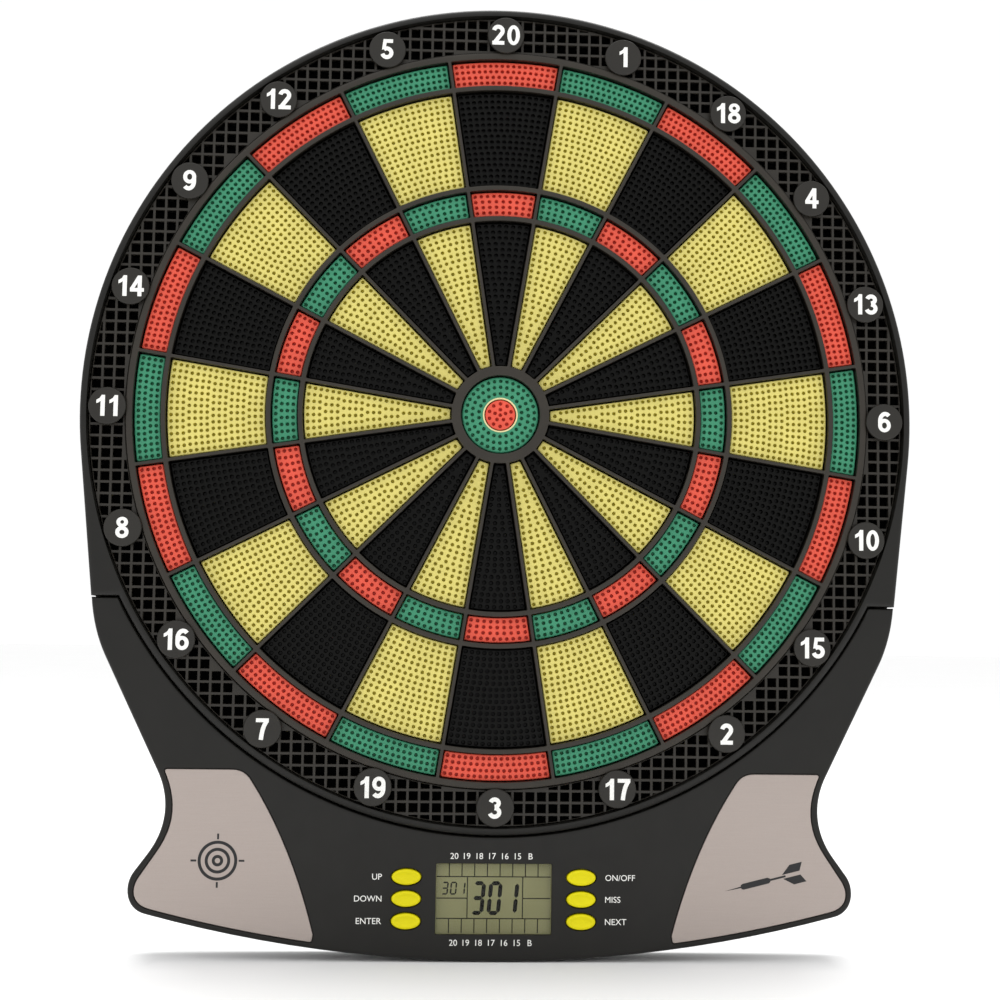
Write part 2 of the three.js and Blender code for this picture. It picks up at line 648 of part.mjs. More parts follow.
for (let index = 0; index < SECTORS; index += 1) {
  const name = `sector_${String(index + 1).padStart(2, '0')}`;
  add(name, sector(index), index % 2 === 0 ? 'black' : 'yellow');
}
add('outer_bull', outerBull(), 'green');
add('inner_bull', innerBull(), 'red');

add('backing_board', layer(BOARD_RADIUS, BACKING_BOARD), 'fibreboard');
add('sensor_membrane', layer(LAYER_RADIUS, MEMBRANE), 'film');
add('cushion_mat', layer(LAYER_RADIUS, CUSHION), 'rubber');
add('membrane_tail', membraneTail(), 'film');

add('right_wing_panel', slab(wingOutline(), WING_PANEL), 'wing');
add('left_wing_panel', mirrored(slab(wingOutline(), WING_PANEL)), 'wing');
add('lcd_window', block(LCD_CENTRE, LCD_OPENING, LCD_WINDOW), 'window');
add('lcd_panel', block(LCD_CENTRE, LCD_PANEL_SIZE, LCD_PANEL), 'lcd');
add('lcd_holder', lcdHolder(), 'rear');
BUTTON_NAMES.flat().forEach((name, index) => add(`${name}_button`, button(buttonCentres()[index]), 'button'));
add('keypad_left', keypad(-1), 'rubber');
add('keypad_right', keypad(1), 'rubber');
add('circuit_board', circuitBoard(), 'board');
add('speaker', speaker(), 'steel');

add('battery_door', block(WELL_CENTRE, DOOR_SIZE, DOOR), 'rear');
CELL_HEIGHTS.forEach((y, index) => add(`battery_${index + 1}`, cell(y), 'cell'));
add('battery_contacts_left', contact(-1), 'steel');
add('battery_contacts_right', contact(1), 'steel');
screwCentres().forEach((centre, index) => add(`screw_${index + 1}`, screw(centre), 'steel'));

const dartboard = new THREE.Group();
board.rotation.x = Math.PI / 2;
dartboard.add(board);

export default dartboard;
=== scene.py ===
import json
import math

import bpy
import numpy as np
from mathutils import Matrix, Vector
from mathutils.geometry import delaunay_2d_cdt

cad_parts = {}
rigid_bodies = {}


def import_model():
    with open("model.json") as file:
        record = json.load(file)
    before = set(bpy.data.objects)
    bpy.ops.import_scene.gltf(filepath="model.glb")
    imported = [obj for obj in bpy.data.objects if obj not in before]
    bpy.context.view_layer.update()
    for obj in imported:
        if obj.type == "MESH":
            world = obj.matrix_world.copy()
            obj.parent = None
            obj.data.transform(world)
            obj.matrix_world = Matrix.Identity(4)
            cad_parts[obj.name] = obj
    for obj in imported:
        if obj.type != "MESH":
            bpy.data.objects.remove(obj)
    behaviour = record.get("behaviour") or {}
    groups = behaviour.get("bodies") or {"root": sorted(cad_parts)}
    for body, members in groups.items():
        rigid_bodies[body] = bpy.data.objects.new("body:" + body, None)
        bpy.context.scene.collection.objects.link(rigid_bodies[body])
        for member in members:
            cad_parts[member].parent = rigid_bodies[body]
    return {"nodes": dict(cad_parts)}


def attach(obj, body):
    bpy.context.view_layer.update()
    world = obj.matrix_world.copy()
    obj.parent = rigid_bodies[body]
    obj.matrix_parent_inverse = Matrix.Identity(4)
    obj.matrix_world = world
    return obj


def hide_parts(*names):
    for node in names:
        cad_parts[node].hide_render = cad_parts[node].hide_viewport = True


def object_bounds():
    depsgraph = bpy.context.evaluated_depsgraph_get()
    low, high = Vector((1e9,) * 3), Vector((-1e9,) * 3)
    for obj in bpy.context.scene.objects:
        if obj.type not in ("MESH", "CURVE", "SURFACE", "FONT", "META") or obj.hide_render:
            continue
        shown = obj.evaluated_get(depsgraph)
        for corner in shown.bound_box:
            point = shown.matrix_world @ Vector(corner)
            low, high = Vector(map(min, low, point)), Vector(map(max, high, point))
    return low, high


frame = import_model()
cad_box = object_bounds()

# Electronic dartboard. Shapes are drawn in board millimetres, as in the CAD: x to the right,
# y up, and z the distance from the wall towards the thrower. to_row() turns them into the
# row frame, in metres, with +Z up and the front facing -Y.
#
# An edge is a list of (margin, drop) pairs: how far the outline is drawn in, and how far below
# the face it lies. A profile is a list of (margin or radius, z) pairs.

# ---------------------------------------------------------------- driving dimensions

SECTORS = 20
SECTOR_ANGLE = 2 * math.pi / SECTORS
NUMBERS = (20, 1, 18, 4, 13, 6, 10, 15, 2, 17, 3, 19, 7, 16, 8, 11, 14, 9, 12, 5)
INNER_BULL_RADIUS = 7.1
OUTER_BULL_RADII = (7.5, 18.1)
HUB_RADII = (18.5, 23.2)
ARC_WALL_RADII = (94.05, 108.9, 157.6)
ARC_WALL = 2.4
RADIAL_WALL = 1.7
OUTER_RING_RADII = (171.6, 174.9)
SEGMENT_GAP = 0.4
SEGMENT_EDGE = ((0.48, 0), (0.22, 0.1), (0.06, 0.35), (0, 0.75))
SEGMENT_CORNER = 0.7
ARC_STEP = 4.5  # length of the straight runs along each sector's arcs
SECTOR_BASE_RADII = (23.6, 171)
BASE_GAP = 0.8
BASE_EDGE = 0.2
OUTER_BULL_FLANGE = 22.9
OUTER_BULL_EDGE = ((0.7, 0), (0.2, 0.2), (0, 0.7))
OUTER_BULL_HOLES = ((10.2, 22), (13.3, 28), (16.2, 34))  # radius and number of holes
CREAM_LIP = ((0.75, 0), (0.6, -0.12), (0.15, -0.1), (0, 0.1))
INNER_BULL_FLANGE = 8.8
INNER_BULL_FLANGE_THICKNESS = 1
BULL_STEP_RISE = 0.7  # of the outer bull's inner step above the inner bull's flange
INNER_BULL_EDGE = ((0.6, 0), (0.15, 0.18), (0, 0.6))
INNER_BULL_HOLES = ((0, 1), (2.6, 5), (5.35, 10))
BULL_SIDES = 96
SPIDER_WINDOW_EDGE = ((-0.55, 0), (-0.22, 0.12), (-0.04, 0.45), (0, 1))
SPIDER_WINDOW_CORNER = 0.5
SPIDER_RING_EDGE = ((0.9, 0), (0.3, 0.2), (0, 0.8))
SPIDER_RING_SIDES = 160
SPIDER_SKIRT_SETBACK = 0.2  # of the skirt behind the outer ring
SPIDER_LUGS = 6
SPIDER_LUG_REACH = 179.5
SPIDER_LUG_WIDTH = 12
SPIDER_LUG_PROFILE = ((0.3, 16), (0, 15.7), (0, 14))

CATCH_RING_RADII = (175.2, 192)
CATCH_RING_EDGE = ((0.3, 0), (0, 0.3))
LATTICE_PITCH = 5.4
LATTICE_CELL = 4.2
LATTICE_DRAFT = 0.2
LATTICE_CELL_EDGE = ((-0.08, 0), (0.08, 0.25))
LATTICE_EDGE = 0.45  # solid border along both edges of the lattice
NUMBER_CIRCLE_RADIUS = 183.1
NUMBER_HEIGHT = 9.8
DIGIT_STROKE = 0.2  # for a digit one unit high
DIGIT_WIDTH = 0.64
DIGIT_GAP = 0.11
ONE_WIDTH = 0.5
DISC_PROFILE = (
    (8.1, 28.54), (8.4, 28.47), (8.63, 28.25), (8.78, 27.9), (8.8, 27.5), (8.7, 27.3), (8.2, 27.2),
    (6.9, 27.1), (6.7, 24.6), (6.7, 20.2),
)

RIM_RADIUS = 195.9
RIM_OPENING_RADIUS = 192.3
RIM_STEP_RADIUS = 193.1
RIM_SIDES = 240
RIM_EDGE = ((2.3, 0), (1.35, 0.18), (0.6, 0.62), (0.15, 1.2), (0, 1.9))
RIM_BEVEL = ((RIM_STEP_RADIUS - RIM_OPENING_RADIUS, 0), (0.4, 0.12), (0.25, 1.15), (0, 1.5))
RIM_RECESS = 0.8  # round the opening, behind the plate
RIM_SHADE = 23  # height below which the inside of the opening takes the near-black matte material: painted shade under the lattice
FRONT_LEDGE_RADIUS = 175.2
FRONT_LEDGE = 19.8
SIDE_ANGLE = math.radians(6)
SEAM_HEIGHT = -88
GAP = 0.3
BOTTOM_HEIGHT = -253
BOTTOM_BOW_RADIUS = 622
WING_REACH = 158
WING_BORDER = 2.9  # between the bowed bottom edge and the silver panels
WING_BOTTOM = (83, 156.4)  # from where to where the right panel follows it
WALL = 2.4
COVER_GROOVE_RADIUS = 196.5

# Control points of the curves of the right wing and of its silver panel, from the bottom up.
WING_TIP = ((168.2, -230.6), (168.8, -219.5), (164.6, -213.6))
WAIST = ((158.3, -205), (149.6, -193), (149.2, -179.5), (155.2, -167.5))
SHOULDER = ((180.6, -115.5), (186.4, -103.5))
PANEL_TIP = ((165.2, -228), (165.8, -220.5), (161.2, -214.6))
PANEL_WAIST = ((154.6, -204.8), (145.6, -192), (145.8, -180), (152, -166.8))
PANEL_TOP = ((121, -166.8), (115, -166.8), (112, -172))
PANEL_SIDE = ((112, -172), (93, -201), (82.5, -241))
PANEL_CORNER = 1.2

REAR_DEPTH = 16
REAR_FLOOR = 2
REAR_EDGE = ((0, 2.4), (0.25, 1.2), (0.9, 0.35), (1.8, 0))
FRONT_BACK = 16.3
RIM_FRONT = 28
PLATE = 2.4
COVER_FRONT = 26.5
COVER_EDGE = ((1.6, 0), (0.85, 0.15), (0.3, 0.55), (0, 1.3))
COVER_OPENING_EDGE = ((-0.35, 0), (-0.1225, 0.1225), (0, 0.35))
RECESS_EDGE = ((-0.25, 0), (0, 0.25))
SPIDER_FRONT = 27
SPIDER_BACK = 16.9
SPIDER_RIM_BACK = 14
SEGMENT_BASE = (14.8, 16.6)
SEGMENT_FACE = 24
BULL_FACE = 24.4
CATCH_RING = (20.1, 25)
WING_PANEL = (25.7, 26.7)
WING_PANEL_EDGE = ((0.5, 0), (0.18, 0.1), (0, 0.35))

# Holes that the darts stick in: a funnel, then a straight throat.
HOLE_SIDES = 8
HOLE_MOUTH = 1.04
HOLE_THROAT = 0.82
HOLE_FLOOR = 0.697
HOLE_FUNNEL_DEPTH = 0.55
HOLE_DEPTH = 1.6
HOLE_PROFILE = (
    (HOLE_MOUTH, 0), ((HOLE_MOUTH + HOLE_THROAT) / 2 - 0.06, 0.45 * HOLE_FUNNEL_DEPTH),
    (HOLE_THROAT, HOLE_FUNNEL_DEPTH), (HOLE_FLOOR, HOLE_DEPTH),
)
# For each ring of segments: rows of holes, first and last margin, least spacing, side margin.
HOLE_LAYOUTS = {
    "inner_single": (24, (2.7, 2.1), 2.95, 2.0),
    "triple": (4, (2.2, 2.1), 2.95, 2.1),
    "outer_single": (16, (2.2, 2.1), 2.85, 2.2),
    "double": (4, (2.2, 2.2), 2.7, 2.1),
}

# Console.
LCD_CENTRE = (0, -224.8)
LCD_OPENING = (52.8, 31.6)
LCD_OPENING_CORNER = 0.8
LCD_PANEL_SIZE = (56, 35)
LCD_PANEL_FRONT = 23.5
LCD_PANEL_PROFILE = ((0.2, LCD_PANEL_FRONT), (0, LCD_PANEL_FRONT - 0.2), (0, 21.5))
LCD_WINDOW_PROFILE = ((0.35, 26.2), (0.1, 26.1), (0, 25.85), (0, 24.3))
LCD_CORNER = 0.6
LCD_COLUMNS = 9
LCD_LINE = 0.5
LCD_ROWS = (9.8, -9.2)  # heights of the lines below the upper marks and above the lower ones
LCD_BOX = (-12.1, 13.5)  # left and right line of the box round the large figures
# Each score: left edge, height of its middle, pitch, size of a figure, half a bar's width.
LCD_SCORES = ((-10.3, 0.1, 7.7, (6.3, 15.4), 0.95), (-23.9, 4.5, 3.9, (3.0, 5.9), 0.34))
SEVEN_SEGMENTS = {"3": "abcdg", "0": "abcdef", "1": "bc"}
FIGURE_LEAN = math.radians(5)
BUTTON_SIZE = (13.4, 7.2)
BUTTON_FRONT = 27.8
# Crown of a button, from the middle of its dish out to its rim.
BUTTON_DISH = (
    (3.0, 0.42), (2.4, 0.38), (1.9, 0.26), (1.45, 0.08), (1.05, 0), (0.6, 0.06), (0.25, 0.3), (0.06, 0.6),
    (0, 1.0),
)
BUTTON_FLANGE = (22.5, 23.7)
BUTTON_FLANGE_EDGE = 1
BUTTON_COLUMN = 40.3
BUTTON_HEIGHTS = (-214.8, -224.7, -234.8)
BUTTONS = (("up", "down", "enter"), ("power", "miss", "next"))
LEGENDS = (("UP", "DOWN", "ENTER"), ("ON/OFF", "MISS", "NEXT"))
LEGEND_COLUMN = 51.5
LEGEND_HEIGHT = 2.7
SCALE_MARKS = ("20", "19", "18", "17", "16", "15", "B")
SCALE_MARK_HEIGHT = 2.75
SCALE_MARK_DISTANCE = 19.6  # of each row from the middle of the display
SCALE_MARK_SHIFT = -0.8
PRINT = 0.06  # thickness of printed ink
LCD_FIGURE_PRINT = 0.03
LCD_LINE_PRINT = 0.02
TARGET_EMBLEM = (-126.5, -208)
TARGET_RINGS = ((7.6, 9.0), (4.4, 5.8), (1.2, 2.6))
TARGET_BAR = ((10.9, 0), (2.6, 0.9))
DART_EMBLEM = (125.5, -216)
DART_LEAN = math.radians(14)
DART_SHAPES = (
    [(-19, 0), (-11, -0.35), (-11, 0.35)],
    [(-11, -0.9), (-10, -1.35), (2, -1.35), (3, -0.8), (3, 0.8), (2, 1.35), (-10, 1.35), (-11, 0.9)],
    [(3, -0.45), (10.5, -0.45), (10.5, 0.45), (3, 0.45)],
    [(9, 0.9), (17.5, 0.9), (19.5, 4.6), (13.5, 4.6)],
    [(9, -0.9), (13.5, -4.6), (19.5, -4.6), (17.5, -0.9)],
)

# Back of the board.
WELL_CENTRE = (0, -225.3)
WELL_SIZE = (60.4, 44.2)
WELL_DEPTH = (1.9, 16.6)
BOX_WALL = 1.6  # round the battery well and the hanger pockets
DOOR_SIZE = (66, 48.2)
DOOR_THICKNESS = 1.6
DOOR_EDGE = ((0, 0.35), (0.12, 0.1), (0.4, 0))
NOTCH = (4.4, (18, 5))  # distance below the door's upper edge, and size
NOTCH_PROFILE = ((0.35, 0.9), (0.1, 0.35), (-0.25, 0))
GROOVES = 5
GROOVE_TOP = 10.5
GROOVE_PITCH = 2.6
GROOVE_LENGTH = 24
GROOVE_TAPER = 2.4
GROOVE_PROFILE = ((0.2, 0.5), (0, 0.2), (-0.15, 0))
SCREW_CIRCLE_RADIUS = 183
WING_SCREWS = ((-140, -222), (140, -222))
SCREW_SIDES = 32
SCREW_PROFILE = ((1.0, 19.3), (1.3, 18.3), (1.3, 8), (3, 8), (3, 7.2), (2.7, 6.55), (2.2, 6.25))
CROSS_REACH = 1.9
CROSS_HALF_WIDTH = 0.45
CROSS_STAGES = ((0.45, 7.4), (0.9, 6.6), (1, 6.25))
COUNTERBORE = 3.7
COUNTERBORE_DEPTH = 8.3
COUNTERBORE_EDGE = 0.45
BOSS_RADIUS = 4.6
SCREW_HOLE_RADIUS = 1.65
HANGERS = ((-58, 126), (58, 126))
KEYHOLE_HEAD = 4.8
KEYHOLE_SLOT = 2.4
KEYHOLE_RISE = 10
HANGER_POCKET = (15, 24)
HANGER_CEILINGS = (6.8, 8.3)
SPEAKER_CENTRE = (-92, -214)
SOUND_HOLE_RADIUS = 1.5
SOUND_HOLE_SPACING = 6
SOUND_HOLE_SIDES = 20
BACK_EDGE = 0.3

# Studio.
CAMERA_PLACE = (-0.0402, -0.7738, -0.1019)
CAMERA_AIM = (0.0016, -0.0025, -0.0385)
CAMERA_ROLL = math.radians(0.81)
CAMERA_LENS = 57.6
FLOOR_REACH = 12
FLOOR_CLEARANCE = 0.0004


# ---------------------------------------------------------------- outlines, in board millimetres

def polar(radius, angle):
    return np.array((radius * math.cos(angle), radius * math.sin(angle)))


def arc(radius, start, end, steps, centre=(0, 0)):
    angles = np.linspace(start, end, steps + 1)
    return np.stack((centre[0] + radius * np.cos(angles), centre[1] + radius * np.sin(angles)), axis=1)


def circle(radius, sides, centre=(0, 0)):
    return arc(radius, 0, 2 * math.pi, sides, centre)[:-1]


def ellipse(centre, size, sides=40):
    return np.array(centre) + circle(0.5, sides) * np.array(size)


def bezier(controls, steps):
    """Points along a quadratic or cubic curve."""
    controls = np.array(controls, float)
    order = len(controls) - 1
    share = np.linspace(0, 1, steps + 1)[:, None]
    weights = [math.comb(order, k) * share ** k * (1 - share) ** (order - k) for k in range(order + 1)]
    return sum(weight * control for weight, control in zip(weights, controls))


def rectangle(centre, size):
    halves = np.array(((-1, -1), (1, -1), (1, 1), (-1, 1))) / 2
    return np.array(centre) + halves * np.array(size)


def box(left, low, right, high):
    return rectangle(((left + right) / 2, (low + high) / 2), (right - left, high - low))


def turned_by(outline, angle):
    """The outline turned anticlockwise about the origin."""
    turn = np.array(((math.cos(angle), math.sin(angle)), (-math.sin(angle), math.cos(angle))))
    return np.array(outline) @ turn


def inset(outline, distance):
    """A counter-clockwise outline moved inwards, with mitred corners."""
    along = np.roll(outline, -1, axis=0) - outline
    along /= np.linalg.norm(along, axis=1)[:, None]
    leaving = np.stack((-along[:, 1], along[:, 0]), axis=1)
    arriving = np.roll(leaving, 1, axis=0)
    spread = 1 + (leaving * arriving).sum(axis=1)
    return outline + (leaving + arriving) * (distance / spread)[:, None]


def rounded(outline, radius, steps=3, sharpest=math.radians(25)):
    """The outline with each corner that turns by more than `sharpest` made round."""
    points = []
    for before, corner, after in zip(np.roll(outline, 1, axis=0), outline, np.roll(outline, -1, axis=0)):
        arriving = (corner - before) / np.linalg.norm(corner - before)
        leaving = (after - corner) / np.linalg.norm(after - corner)
        turn = math.acos(max(-1, min(1, float(arriving @ leaving))))
        if turn < sharpest:
            points.append(corner)
            continue
        reach = min(radius * math.tan(turn / 2), 0.45 * np.linalg.norm(corner - before),
                    0.45 * np.linalg.norm(after - corner))
        points.extend(bezier((corner - reach * arriving, corner, corner + reach * leaving), steps))
    return np.array(points)


def mirrored(outline):
    """The same outline on the left of the board, still counter-clockwise."""
    return (outline * (-1, 1))[::-1]


def side_half_width(height):
    x, y = polar(RIM_RADIUS, -SIDE_ANGLE)
    return x - (y - height) * math.tan(SIDE_ANGLE)


def bottom_bow():
    half_angle = math.asin(WING_REACH / BOTTOM_BOW_RADIUS)
    middle = -math.pi / 2
    centre = (0, BOTTOM_HEIGHT + BOTTOM_BOW_RADIUS)
    return arc(BOTTOM_BOW_RADIUS, middle - half_angle, middle + half_angle, 24, centre)


def lower_edge(top):
    """From the left side at the given height, under the console, to the right side."""
    bow = bottom_bow()
    wing_tip = bezier((bow[-1], *WING_TIP), 14)[1:]
    shoulder = bezier((*SHOULDER, (side_half_width(top), top)), 8)
    right = np.concatenate((wing_tip, bezier(WAIST, 20), shoulder))
    return np.concatenate((mirrored(right), bow, right))


def upper_arc():
    return arc(RIM_RADIUS, -SIDE_ANGLE, math.pi + SIDE_ANGLE, 128)


def housing_outline():
    return np.concatenate((lower_edge(SEAM_HEIGHT), upper_arc()))


def rim_outline():
    low = math.asin(-SEAM_HEIGHT / RIM_RADIUS)
    half_width = side_half_width(SEAM_HEIGHT)
    return np.concatenate((
        arc(RIM_RADIUS, math.pi + low, 2 * math.pi - low, 84), [(half_width, SEAM_HEIGHT)],
        upper_arc(), [(-half_width, SEAM_HEIGHT)],
    ))


def cover_outline():
    top = SEAM_HEIGHT - 2 * GAP
    low = math.asin(-top / COVER_GROOVE_RADIUS)
    return np.concatenate((lower_edge(top), arc(COVER_GROOVE_RADIUS, -low, low - math.pi, 84)))


def wing_outline():
    """The silver panel on the right wing."""
    bow = BOTTOM_BOW_RADIUS - WING_BORDER
    start, end = (math.asin(x / bow) - math.pi / 2 for x in WING_BOTTOM)
    bottom = arc(bow, start, end, 10, (0, BOTTOM_HEIGHT + BOTTOM_BOW_RADIUS))
    outline = np.concatenate((
        bottom, bezier((bottom[-1], *PANEL_TIP), 10)[1:], bezier(PANEL_WAIST, 12),
        bezier(PANEL_TOP, 6), bezier(PANEL_SIDE, 10)[1:],
    ))
    return rounded(outline, PANEL_CORNER)


def ring_piece(radii, side_offset, margin=0, corner=0.0, angle=math.pi / 2):
    """A four-sided piece of a ring, with its straight sides parallel to the sector's edges.

    It is drawn in by the margin all round, and its corners are rounded."""
    inner_half, outer_half = (
        SECTOR_ANGLE / 2 - math.asin((side_offset + margin) / radius) for radius in radii
    )
    inner_steps, outer_steps = (max(2, round(radius * SECTOR_ANGLE / ARC_STEP)) for radius in radii)
    outline = np.concatenate((
        arc(radii[1] - margin, angle - outer_half, angle + outer_half, outer_steps),
        arc(radii[0] + margin, angle + inner_half, angle - inner_half, inner_steps),
    ))
    return rounded(outline, corner) if corner else outline


def window_radii():
    """The four windows of each sector of the spider, from the hub outwards."""
    starts = (HUB_RADII[1], *(radius + ARC_WALL / 2 for radius in ARC_WALL_RADII))
    ends = (*(radius - ARC_WALL / 2 for radius in ARC_WALL_RADII), OUTER_RING_RADII[0])
    return list(zip(starts, ends))


def sector_angle(index):
    return math.pi / 2 - index * SECTOR_ANGLE


# ---------------------------------------------------------------- meshes

def to_row(points):
    """Board millimetres to row metres."""
    points = np.asarray(points, float)
    return np.stack((points[:, 0], -points[:, 2], points[:, 1]), axis=1) / 1000


def below(face, edge, shift=0, sign=1):
    """An edge as a profile: drops counted from the face, and margins from the shift."""
    return [(shift + sign * margin, face - drop) for margin, drop in edge]


def triangulated(points, rings):
    """The flat area that the rings divide, as triangles with the rings that hold each of them."""
    starts = np.cumsum([0] + [len(ring) for ring in rings])
    faces = [list(range(start, end)) for start, end in zip(starts, starts[1:])]
    corners, _, triangles, sources, _, owners = delaunay_2d_cdt(points, [], faces, 1, 1e-6)
    return corners, sources, list(zip(triangles, owners))


class Draft:
    """Loops of points, the walls between them and the flat faces that close them, in board millimetres."""

    def __init__(self):
        self.points = []
        self.faces = []
        self.materials = []
        self.material = 0

    def add(self, face, front=True):
        self.faces.append(tuple(face) if front else tuple(reversed(face)))
        self.materials.append(self.material)

    def loop(self, outline, z):
        first = len(self.points)
        self.points.extend((float(x), float(y), float(z)) for x, y in outline)
        return list(range(first, len(self.points)))

    def sweep(self, stages, outward=True):
        """Walls through outlines of the same number of points; gives the first and the last loop."""
        loops = [self.loop(outline, z) for outline, z in stages]
        for upper, lower in zip(loops, loops[1:]):
            for here, there in zip(range(len(upper)), [*range(1, len(upper)), 0]):
                self.add((upper[here], lower[here], lower[there], upper[there]), outward)
        return loops[0], loops[-1]

    def drawn_in(self, outline, profile, outward=True):
        """Walls through the outline drawn in by each margin of the profile."""
        return self.sweep([(inset(outline, margin), z) for margin, z in profile], outward)

    def tube(self, profile, centre=(0, 0), sides=48, outward=True):
        """Walls round an axis through each radius of the profile."""
        return self.sweep([(circle(radius, sides, centre), z) for radius, z in profile], outward)

    def fill(self, outer, holes=(), front=True):
        """A flat face inside the outer loop and outside the holes."""
        rings = [outer, *holes]
        used = [index for ring in rings for index in ring]
        _, sources, triangles = triangulated([Vector(self.points[index][:2]) for index in used], rings)
        for triangle, owner in triangles:
            if owner == [0]:
                self.add([used[sources[corner][0]] for corner in triangle], front)

    def ends(self, loops):
        """Closes the front and the back of a solid."""
        self.add(loops[0])
        self.add(loops[1], False)

    def printed(self, solids, holes, z, thickness=PRINT):
        """A thin shape: everything inside any of the solid outlines and none of the holes."""
        outlines = [*solids, *holes]
        flat = [Vector(point) for outline in outlines for point in outline]
        corners, _, triangles = triangulated(flat, outlines)
        kept = [list(triangle) for triangle, owner in triangles if owner and max(owner) < len(solids)]
        used = sorted({corner for triangle in kept for corner in triangle})
        upper = dict(zip(used, self.loop([corners[corner] for corner in used], z + thickness)))
        lower = dict(zip(used, self.loop([corners[corner] for corner in used], z)))
        edges = {edge for triangle in kept for edge in zip(triangle, triangle[1:] + triangle[:1])}
        for triangle in kept:
            self.add([upper[corner] for corner in triangle])
            self.add([lower[corner] for corner in triangle], False)
        for here, there in sorted(edges):
            if (there, here) not in edges:
                self.add((upper[here], lower[here], lower[there], upper[there]))

    def mesh(self, sharp=40):
        """The mesh, smooth and with normals weighted by face area, so that flat faces stay flat."""
        data = bpy.data.meshes.new("draft")
        data.from_pydata(to_row(self.points).tolist(), [], self.faces)
        data.polygons.foreach_set("material_index", self.materials)
        data.polygons.foreach_set("use_smooth", [True] * len(data.polygons))
        data.set_sharp_from_angle(angle=math.radians(sharp))
        holder = bpy.data.objects.new("draft", data)
        weighted = holder.modifiers.new("Weighted", "WEIGHTED_NORMAL")
        weighted.keep_sharp = True
        weighted.weight = 80
        return evaluated(holder)


def evaluated(holder):
    """The mesh that an object gives with its modifiers applied; the object is dropped."""
    bpy.context.scene.collection.objects.link(holder)
    result = bpy.data.meshes.new_from_object(holder.evaluated_get(bpy.context.evaluated_depsgraph_get()))
    bpy.data.batch_remove((holder, holder.data))
    return result


def place(name, data, materials, body="housing", replaces=(), turn=0):
    """An object for the mesh, riding on a CAD body, turned clockwise about the bull's axis."""
    piece = bpy.data.objects.new(name, data)
    bpy.context.scene.collection.objects.link(piece)
    if not data.materials:
        for material in materials:
            data.materials.append(MATERIALS[material])
    piece.matrix_world = Matrix.Rotation(turn, 4, "Y")
    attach(piece, body)
    if replaces:
        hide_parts(*replaces)


# ---------------------------------------------------------------- materials

class Nodes:
    """A few shorthands for building one node material."""

    def __init__(self, name):
        self.material = bpy.data.materials.new(name)
        self.material.use_nodes = True
        self.tree = self.material.node_tree
        self.shader = self.tree.nodes["Principled BSDF"]
        self.place = self.new("ShaderNodeTexCoord").outputs["Object"]

    def new(self, kind, inputs=(), **values):
        """A node with the given properties; each input is given a value or a link."""
        node = self.tree.nodes.new(kind)
        for key, value in values.items():
            setattr(node, key, value)
        for key, value in inputs:
            if isinstance(value, bpy.types.NodeSocket):
                self.tree.links.new(value, node.inputs[key])
            else:
                node.inputs[key].default_value = value
        return node

    def set(self, **values):
        """Links or sets inputs of the shader."""
        for key, value in values.items():
            socket = self.shader.inputs[key.replace("_", " ")]
            if isinstance(value, bpy.types.NodeSocket):
                self.tree.links.new(value, socket)
            else:
                socket.default_value = value

    def stretched(self, scale):
        return self.new("ShaderNodeMapping", [("Scale", scale), ("Vector", self.place)]).outputs["Vector"]

    def noise(self, scale, detail=3, source=None):
        inputs = [("Scale", scale), ("Detail", detail), ("Roughness", 0.55), ("Vector", source or self.place)]
        return self.new("ShaderNodeTexNoise", inputs).outputs["Fac"]

    def along(self, axis):
        return self.new("ShaderNodeSeparateXYZ", [("Vector", self.place)]).outputs[axis]

    def spread(self, source, low=0, high=1, start=0.3, end=0.7):
        """Maps a value between start and end to the range from low to high."""
        inputs = [
            ("Value", source), ("From Min", start), ("From Max", end), ("To Min", low), ("To Max", high),
        ]
        return self.new("ShaderNodeMapRange", inputs).outputs["Result"]

    def mixed(self, share, first, second):
        """From the first colour to the second as the share rises from 0 to 1."""
        if isinstance(first, tuple):
            first = (*first, 1)
        inputs = [("Factor", share), ("A", first), ("B", (*second, 1))]
        return self.new("ShaderNodeMix", inputs, data_type="RGBA").outputs["Result"]

    def shades(self, noise, colour, dark, light):
        """A colour that a noise makes darker and lighter by the given factors."""
        return self.mixed(self.spread(noise), scaled(colour, dark), scaled(colour, light))

    def bump(self, source, strength, distance=0.00003):
        inputs = [("Strength", strength), ("Distance", distance), ("Height", source)]
        self.set(Normal=self.new("ShaderNodeBump", inputs).outputs["Normal"])


def linear(red, green, blue):
    """A colour given as 0-255 display values, as linear light."""
    return tuple(
        value / 255 / 12.92 if value <= 10 else ((value / 255 + 0.055) / 1.055) ** 2.4
        for value in (red, green, blue)
    )


def scaled(colour, factor):
    return tuple(min(1, value * factor) for value in colour)


def moulded_plastic(name, colour, roughness, gloss=0.3, grain=(2600, 0.35, 0.00003), mottle=0.12):
    """Injection-moulded plastic with a fine spark-eroded grain and slightly uneven colour and gloss."""
    nodes = Nodes(name)
    nodes.set(
        Base_Color=nodes.shades(nodes.noise(55, 4), colour, 1 - mottle, 1 + mottle),
        Roughness=nodes.spread(nodes.noise(140), roughness - 0.05, roughness + 0.06),
        Specular_IOR_Level=gloss,
    )
    scale, strength, depth = grain
    nodes.bump(nodes.noise(scale, 2), strength, depth)
    return nodes.material


def recessed_plastic(name, deep, depths, surface, roughness, gloss):
    """Plastic with painted shade: its colour turns to the darker `deep` colour from the first to the second
    of two heights.

    `surface` makes its colour further out."""
    nodes = Nodes(name)
    start, end = (-z / 1000 for z in depths)
    # Painted shade: the share of the darker colour grows with depth below the front.
    share = nodes.spread(nodes.along("Y"), start=start, end=end)
    nodes.set(Base_Color=nodes.mixed(share, surface(nodes), deep), Specular_IOR_Level=gloss)
    scale, value = roughness
    nodes.set(Roughness=nodes.spread(nodes.noise(scale), value - 0.05, value + 0.07))
    return nodes


